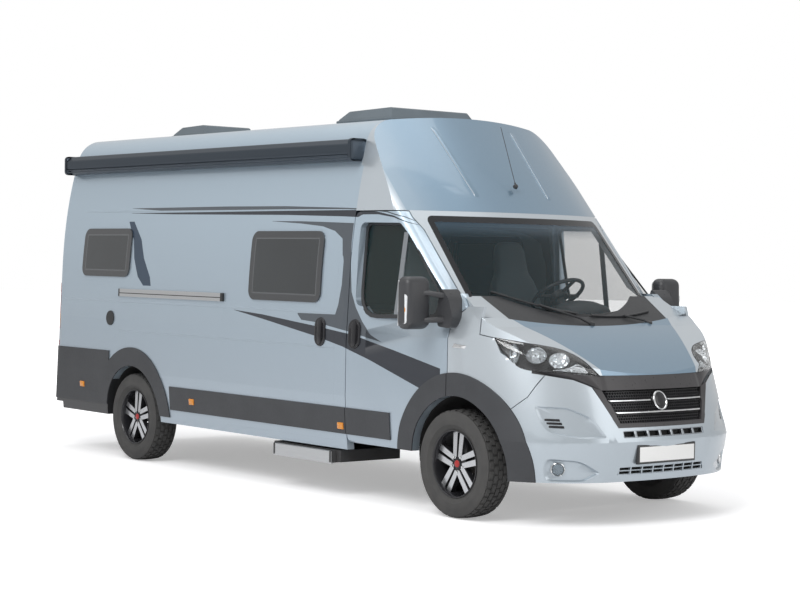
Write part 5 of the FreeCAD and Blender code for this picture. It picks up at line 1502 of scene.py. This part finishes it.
def make_roof_front(aerial_length):
    """The roof front's ribs, the aerial, and the wings' plain strips."""
    rib = rounded([(-0.392, 2.620), (-0.362, 2.620), (-0.326, 2.118), (-0.362, 2.118)], 0.006)
    panels = [(rib, [(1.0, 0.0), (0.90, 0.010), (0.2, 0.012)], 0.03)]
    laid("cap_ribs", "nose_paint", "paint", Skin("roof_cap"), FRONT, panels, pair=True)
    bm = bmesh.new()
    base = Vector((1.672, 0.01, 2.205))
    tip = base + Vector((-0.42, 0.02, 1.0)).normalized() * aerial_length
    tube(bm, [base, base.lerp(tip, 0.06)], 0.006, 12)
    tube(bm, [base.lerp(tip, 0.05), tip], 0.0022, 8)
    drum(bm, base, (0.75, 0, 0.65), 0.02, 0.024, 24, 0.7, bevel=0.004)
    piece("aerial", bm, "black_plastic", "body", 40.0, slot="black_plastic")
    strip = rounded([(2.215, 1.112), (2.335, 1.108), (2.352, 1.130), (2.235, 1.139)], 0.006)
    panels = [(strip, [(1.0, 0.0), (0.9, 0.003), (0.3, 0.0035)])]
    laid("wing_strips", "chrome", "aluminium", Skin("front_wings"), RIGHT, panels, pair=True)


def make_wipers():
    """Parked wipers: blades, arms and pivots along the glass."""
    skin = Skin("windscreen", "cowl")
    bm = bmesh.new()
    for start, end, pivot in (
        ((-0.66, 1.475), (-0.10, 1.335), (-0.06, 1.262)),
        ((0.02, 1.322), (0.62, 1.345), (0.50, 1.262)),
    ):
        points = []
        for k in range(13):
            t = k / 12
            a = start[0] + (end[0] - start[0]) * t
            b = start[1] + (end[1] - start[1]) * t - 0.018 * math.sin(math.pi * t)
            points.append(FRONT.at(a, b, (skin.depth(FRONT, a, b) or 1.6) - 0.014))
        tube(bm, points, 0.0075, 8)
        foot = FRONT.at(*pivot, (skin.depth(FRONT, *pivot) or 1.5) - 0.012)
        middle = points[6] + Vector((0.012, 0, 0.004))
        knee = foot.lerp(middle, 0.25) + Vector((0.01, 0, 0.012))
        tube(bm, [foot, knee, middle], 0.008, 10)
        drum(bm, foot, (0.3, 0, 0.95), 0.02, 0.04, 24, 0.8, bevel=0.004)
    piece("wiper_set", bm, "black_plastic", "body", 40.0, ["wipers"], "black_plastic")


def soft_piece(name, bm, look, replaces=()):
    """An upholstered piece with one level of smoothing."""
    obj = piece(name, bm, look, "body", 60.0, replaces, "fabric")
    smooth = obj.modifiers.new("soft", "SUBSURF")
    smooth.levels = smooth.render_levels = 1


# Sections of a seat's back, up its lean, and of its cushion, forwards: place and half sizes
SEAT_HALF = 0.238
BACK = (
    (0.00, 0.18, 0.05), (0.02, 0.225, 0.075), (0.10, 0.238, 0.085), (0.28, 0.238, 0.078),
    (0.30, 0.232, 0.071), (0.32, 0.236, 0.078), (0.46, 0.222, 0.072), (0.56, 0.19, 0.066),
    (0.60, 0.160, 0.058), (0.62, 0.148, 0.055), (0.66, 0.142, 0.060), (0.76, 0.136, 0.060),
    (0.83, 0.118, 0.052), (0.855, 0.085, 0.03),
)
CUSHION = (
    (1.19, 0.20, 0.05), (1.205, 0.232, 0.07), (1.30, 0.240, 0.078), (1.44, 0.242, 0.078),
    (1.455, 0.236, 0.071), (1.47, 0.241, 0.078), (1.62, 0.240, 0.076), (1.69, 0.225, 0.062),
    (1.715, 0.19, 0.035),
)


def seat_back(bm, y):
    """A leaning back with a channel, side bolsters and its head restraint in one."""
    lean = Vector((-0.20, 0, 1.0)).normalized()
    across = Vector((0, 1, 0))
    base = Vector((1.30, y, 0.98))
    loft(bm, [
        section(bm, base + lean * up, wide, deep, across, across.cross(lean).normalized())
        for up, wide, deep in BACK
    ])
    for vert in bm.verts:
        middle = base + lean * (vert.co.z - base.z)
        if vert.co.x > middle.x and vert.co.z < 1.55:
            vert.co.x += 0.022 * (abs(vert.co.y - y) / SEAT_HALF) ** 3 - 0.008


def seat_cushion(bm, y):
    """A cushion with a channel, raised along its sides."""
    loft(bm, [
        section(bm, (x, y, 0.965), wide, deep, (0, 1, 0), (0, 0, 1)) for x, wide, deep in CUSHION
    ])
    for vert in bm.verts:
        if vert.co.z > 0.97:
            vert.co.z += 0.02 * (abs(vert.co.y - y) / 0.24) ** 3


def make_seats():
    """Two cab seats on their bases."""
    gone = ["cab_seats"]
    for hand, side in SIDES.items():
        y = side * 0.43
        back, cushion, base = (bmesh.new() for _ in range(3))
        seat_back(back, y)
        seat_cushion(cushion, y)
        block(base, (1.20, y - 0.20, 0.625), (1.66, y + 0.20, 0.885), 0.02, 3)
        soft_piece("seat_back_" + hand, back, "light_fabric", gone)
        soft_piece("seat_cushion_" + hand, cushion, "light_fabric")
        piece("seat_base_" + hand, base, "dash_plastic", "body", 40.0, slot="dark_plastic")
        gone = []


def make_cushions():
    """The mattress and the bench cushion, crowned, with rounded edges."""
    gone = ["cushions"]
    points = [v.co for v in NODES["cushions"].data.vertices]
    for name, rear in (("mattress", True), ("bench", False)):
        chosen = [p for p in points if (p.x < -1.0) == rear]
        low = Vector(min(p[i] for p in chosen) for i in range(3))
        high = Vector(max(p[i] for p in chosen) for i in range(3))
        bm = bmesh.new()
        low_corner = low + Vector((0.004, 0.004, 0.001))
        block(bm, low_corner, high - Vector((0.004, 0.004, 0.012)), 0.03, 3)
        bmesh.ops.subdivide_edges(
            bm, edges=[e for e in bm.edges if e.calc_length() > 0.2], cuts=7, use_grid_fill=True
        )
        middle, size = (low + high) / 2, high - low
        for vert in bm.verts:
            if vert.co.z > middle.z:
                a = 1 - min(1, abs(vert.co.x - middle.x) / size.x * 2) ** 4
                b = 1 - min(1, abs(vert.co.y - middle.y) / size.y * 2) ** 4
                vert.co.z += 0.010 * a * b
        soft_piece("cushion_" + name, bm, "warm_fabric", gone)
        gone = []


class CamperLook(bpy.types.PropertyGroup):
    """Sizes and colours of the added pieces."""

    ring_radius: bpy.props.FloatProperty(
        name="Ring radius", description="Outer radius of the plain ring on the grille",
        default=0.062, unit="LENGTH",
    )
    plate_width: bpy.props.FloatProperty(
        name="Plate width", description="Width of the blank number plate",
        default=0.52, unit="LENGTH",
    )
    plate_height: bpy.props.FloatProperty(
        name="Plate height", description="Height of the blank number plate",
        default=0.11, unit="LENGTH",
    )
    aerial_length: bpy.props.FloatProperty(
        name="Aerial length", description="Length of the roof aerial",
        default=0.46, unit="LENGTH",
    )
    floor_colour: bpy.props.FloatVectorProperty(
        name="Floor", description="Colour of the studio floor",
        default=(0.86, 0.86, 0.87), subtype="COLOR", size=3,
    )


def make_floor(colour):
    """A wide floor that keeps the shadow and turns white with distance."""
    bm = bmesh.new()
    bmesh.ops.create_circle(bm, cap_ends=True, segments=96, radius=70.0)
    mesh = bpy.data.meshes.new("studio_floor")
    bm.to_mesh(mesh)
    bm.free()
    floor = bpy.data.objects.new("studio_floor", mesh)
    bpy.context.scene.collection.objects.link(floor)
    f = Finish("studio_floor", Roughness=0.9, Emission_Strength=1.0)
    seen = f.add("ShaderNodeLightPath", out="Is Camera Ray")
    far = ((f.x * f.x + f.y * f.y) ** 0.5).ramp(4.0, 11.0)
    glow = f.mix(seen * (0.36 + 0.64 * far), tone(0, 0, 0), WHITE)
    f.set(Base_Color=(*colour, 1.0), Emission_Color=glow)
    mesh.materials.append(f.material)


def make_world():
    """A white background, and a softer level for the light that it gives."""
    world = bpy.data.worlds.new("studio")
    bpy.context.scene.world = world
    world.use_nodes = True
    tree = world.node_tree
    back = tree.nodes["Background"]
    back.inputs["Color"].default_value = WHITE
    path = tree.nodes.new("ShaderNodeLightPath")
    seen = tree.nodes.new("ShaderNodeMath")
    seen.operation = "MAXIMUM"
    tree.links.new(path.outputs["Is Camera Ray"], seen.inputs[0])
    tree.links.new(path.outputs["Is Transmission Ray"], seen.inputs[1])
    level = tree.nodes.new("ShaderNodeMapRange")
    level.inputs["To Min"].default_value = 0.62
    level.inputs["To Max"].default_value = 1.0
    tree.links.new(seen.outputs[0], level.inputs["Value"])
    tree.links.new(level.outputs[0], back.inputs["Strength"])


def make_lights():
    """Three soft lamps, aimed at the middle of the van."""
    for name, place, size, power in (
        ("key", (5.0, -9.0, 9.0), 6.0, 900.0),
        ("top", (-1.0, 0.0, 11.0), 9.0, 380.0),
        ("fill", (12.0, 4.0, 5.0), 6.0, 160.0),
    ):
        data = bpy.data.lights.new(name, "AREA")
        data.size = size
        data.energy = power
        lamp = bpy.data.objects.new(name, data)
        lamp.location = place
        aim = Vector((0, 0, 1.2)) - Vector(place)
        lamp.rotation_euler = aim.to_track_quat("-Z", "Y").to_euler()
        bpy.context.scene.collection.objects.link(lamp)


PHOTO_WIDTH, FOCAL_LENGTH = 800.0, 1864.38


def make_camera():
    """The photograph's view; its focal length is in pixels."""
    yaw, pitch, roll = 2.4635, -0.0218, 0.0168
    forward = Vector(
        (math.cos(pitch) * math.cos(yaw), math.cos(pitch) * math.sin(yaw), math.sin(pitch))
    )
    data = bpy.data.cameras.new("photo_view")
    data.sensor_width = 36.0
    data.lens = FOCAL_LENGTH / PHOTO_WIDTH * 36.0
    camera = bpy.data.objects.new("photo_view", data)
    camera.location = (11.4084, -8.8623, 1.6773)
    turn = forward.to_track_quat("-Z", "Y") @ Quaternion((0, 0, 1), roll)
    camera.rotation_euler = turn.to_euler()
    bpy.context.scene.collection.objects.link(camera)
    bpy.context.scene.camera = camera


def at_each_wheel(make):
    """Make a piece at each of the four wheels."""
    for end, (x, y) in AXLES.items():
        for hand, side in SIDES.items():
            make(end, hand, x, y, side)


class CAMPER_OT_stage(bpy.types.Operator):
    """Floor, soft lights and the camera"""

    bl_idname = "camper.stage"
    bl_label = "Stage"

    def execute(self, context):
        make_floor(context.scene.camper.floor_colour)
        make_world()
        make_lights()
        make_camera()
        return {"FINISHED"}


class CAMPER_OT_finishes(bpy.types.Operator):
    """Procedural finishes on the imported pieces"""

    bl_idname = "camper.finishes"
    bl_label = "Finishes"

    def execute(self, context):
        given = set()
        for name, nodes in NODE_FINISHES.items():
            for node in nodes:
                mesh = NODES[node].data
                mesh.materials.clear()
                mesh.materials.append(finish(name))
                given.add(node)
        missing = sorted(set(NODES) - given)
        if missing:
            raise RuntimeError(f"no finish for {missing}")
        return {"FINISHED"}


class CAMPER_OT_tyres(bpy.types.Operator):
    """Road tyres with cut tread blocks"""

    bl_idname = "camper.tyres"
    bl_label = "Tyres"

    def execute(self, context):
        at_each_wheel(make_tyre)
        return {"FINISHED"}


class CAMPER_OT_wheels(bpy.types.Operator):
    """Alloy wheels with paired spokes"""

    bl_idname = "camper.wheels"
    bl_label = "Wheels"

    def execute(self, context):
        at_each_wheel(make_wheel)
        return {"FINISHED"}


class CAMPER_OT_nose(bpy.types.Operator):
    """Bonnet, wings and bumper with their openings"""

    bl_idname = "camper.nose"
    bl_label = "Nose"

    def execute(self, context):
        make_nose()
        return {"FINISHED"}


class CAMPER_OT_lamps(bpy.types.Operator):
    """Headlamps, the bumper's vents and the fog lamps"""

    bl_idname = "camper.lamps"
    bl_label = "Lamps and bays"

    def execute(self, context):
        skin = Skin(*NOSE_NODES)
        make_lamps(skin)
        make_bays(skin)
        return {"FINISHED"}


class CAMPER_OT_grilles(bpy.types.Operator):
    """Upper grille with its honeycomb and plain ring, slot row and intake"""

    bl_idname = "camper.grilles"
    bl_label = "Grilles"

    def execute(self, context):
        skin = Skin(*NOSE_NODES)
        bow = Bow(skin)
        make_band(bow)
        make_honeycomb(bow)
        make_bars_and_ring(bow, context.scene.camper.ring_radius)
        make_lower_grilles(skin)
        return {"FINISHED"}


class CAMPER_OT_plate(bpy.types.Operator):
    """Blank number plate and its frame"""

    bl_idname = "camper.plate"
    bl_label = "Plate"

    def execute(self, context):
        make_plate(context.scene.camper)
        return {"FINISHED"}


class CAMPER_OT_handles(bpy.types.Operator):
    """Door handles and side markers"""

    bl_idname = "camper.handles"
    bl_label = "Handles and markers"

    def execute(self, context):
        make_handles()
        make_markers()
        return {"FINISHED"}


class CAMPER_OT_mirrors(bpy.types.Operator):
    """Two-armed door mirrors"""

    bl_idname = "camper.mirrors"
    bl_label = "Mirrors"

    def execute(self, context):
        for hand, side in SIDES.items():
            make_mirror(hand, side)
        return {"FINISHED"}


class CAMPER_OT_front_trim(bpy.types.Operator):
    """Ribs of the roof front, aerial, wing strips and wipers"""

    bl_idname = "camper.front_trim"
    bl_label = "Front trim"

    def execute(self, context):
        make_roof_front(context.scene.camper.aerial_length)
        make_wipers()
        return {"FINISHED"}


class CAMPER_OT_cab_windows(bpy.types.Operator):
    """Cab doors with their drawn windows"""

    bl_idname = "camper.cab_windows"
    bl_label = "Cab windows"

    def execute(self, context):
        make_cab_windows()
        return {"FINISHED"}


class CAMPER_OT_tail(bpy.types.Operator):
    """Hinges and handle of the rear doors, and the high lamp"""

    bl_idname = "camper.tail"
    bl_label = "Tail"

    def execute(self, context):
        make_tail()
        return {"FINISHED"}


class CAMPER_OT_step_and_roof(bpy.types.Operator):
    """Details of the entry step, the awning and the roof hatches"""

    bl_idname = "camper.step_and_roof"
    bl_label = "Step, awning and hatches"

    def execute(self, context):
        make_step()
        make_roof()
        return {"FINISHED"}


class CAMPER_OT_dash(bpy.types.Operator):
    """Hood, vents, screen and grilles of the dashboard"""

    bl_idname = "camper.dash"
    bl_label = "Dashboard"

    def execute(self, context):
        make_dash()
        return {"FINISHED"}


class CAMPER_OT_seats(bpy.types.Operator):
    """Cab seats and the living space's cushions"""

    bl_idname = "camper.seats"
    bl_label = "Seats and cushions"

    def execute(self, context):
        make_seats()
        make_cushions()
        return {"FINISHED"}


OPERATORS = [
    CAMPER_OT_stage, CAMPER_OT_finishes, CAMPER_OT_tyres, CAMPER_OT_wheels, CAMPER_OT_nose,
    CAMPER_OT_lamps, CAMPER_OT_grilles, CAMPER_OT_plate, CAMPER_OT_handles, CAMPER_OT_mirrors,
    CAMPER_OT_front_trim, CAMPER_OT_cab_windows, CAMPER_OT_tail, CAMPER_OT_step_and_roof,
    CAMPER_OT_dash, CAMPER_OT_seats,
]
STEPS = [
    "stage", "finishes", "tyres", "wheels", "nose", "lamps", "grilles", "plate", "handles",
    "mirrors", "front_trim", "cab_windows", "tail", "step_and_roof", "dash", "seats",
]


class CAMPER_PT_panel(bpy.types.Panel):
    """Buttons for each group of pieces"""

    bl_idname = "CAMPER_PT_panel"
    bl_label = "Camper van"
    bl_space_type = "VIEW_3D"
    bl_region_type = "UI"
    bl_category = "Camper"

    def draw(self, context):
        for step in STEPS:
            self.layout.operator("camper." + step)
        for key in CamperLook.__annotations__:
            self.layout.prop(context.scene.camper, key)


CLASSES = [CamperLook, *OPERATORS, CAMPER_PT_panel]


def register():
    """Add the classes and the scene's camper settings."""
    for cls in CLASSES:
        bpy.utils.register_class(cls)
    bpy.types.Scene.camper = bpy.props.PointerProperty(type=CamperLook)


def unregister():
    """Take them away again."""
    del bpy.types.Scene.camper
    for cls in reversed(CLASSES):
        bpy.utils.unregister_class(cls)


def main():
    """Make every group of pieces."""
    register()
    for step in STEPS:
        getattr(bpy.ops.camper, step)()
    bpy.context.scene.view_settings.view_transform = "Standard"


if __name__ == "__main__":
    main()
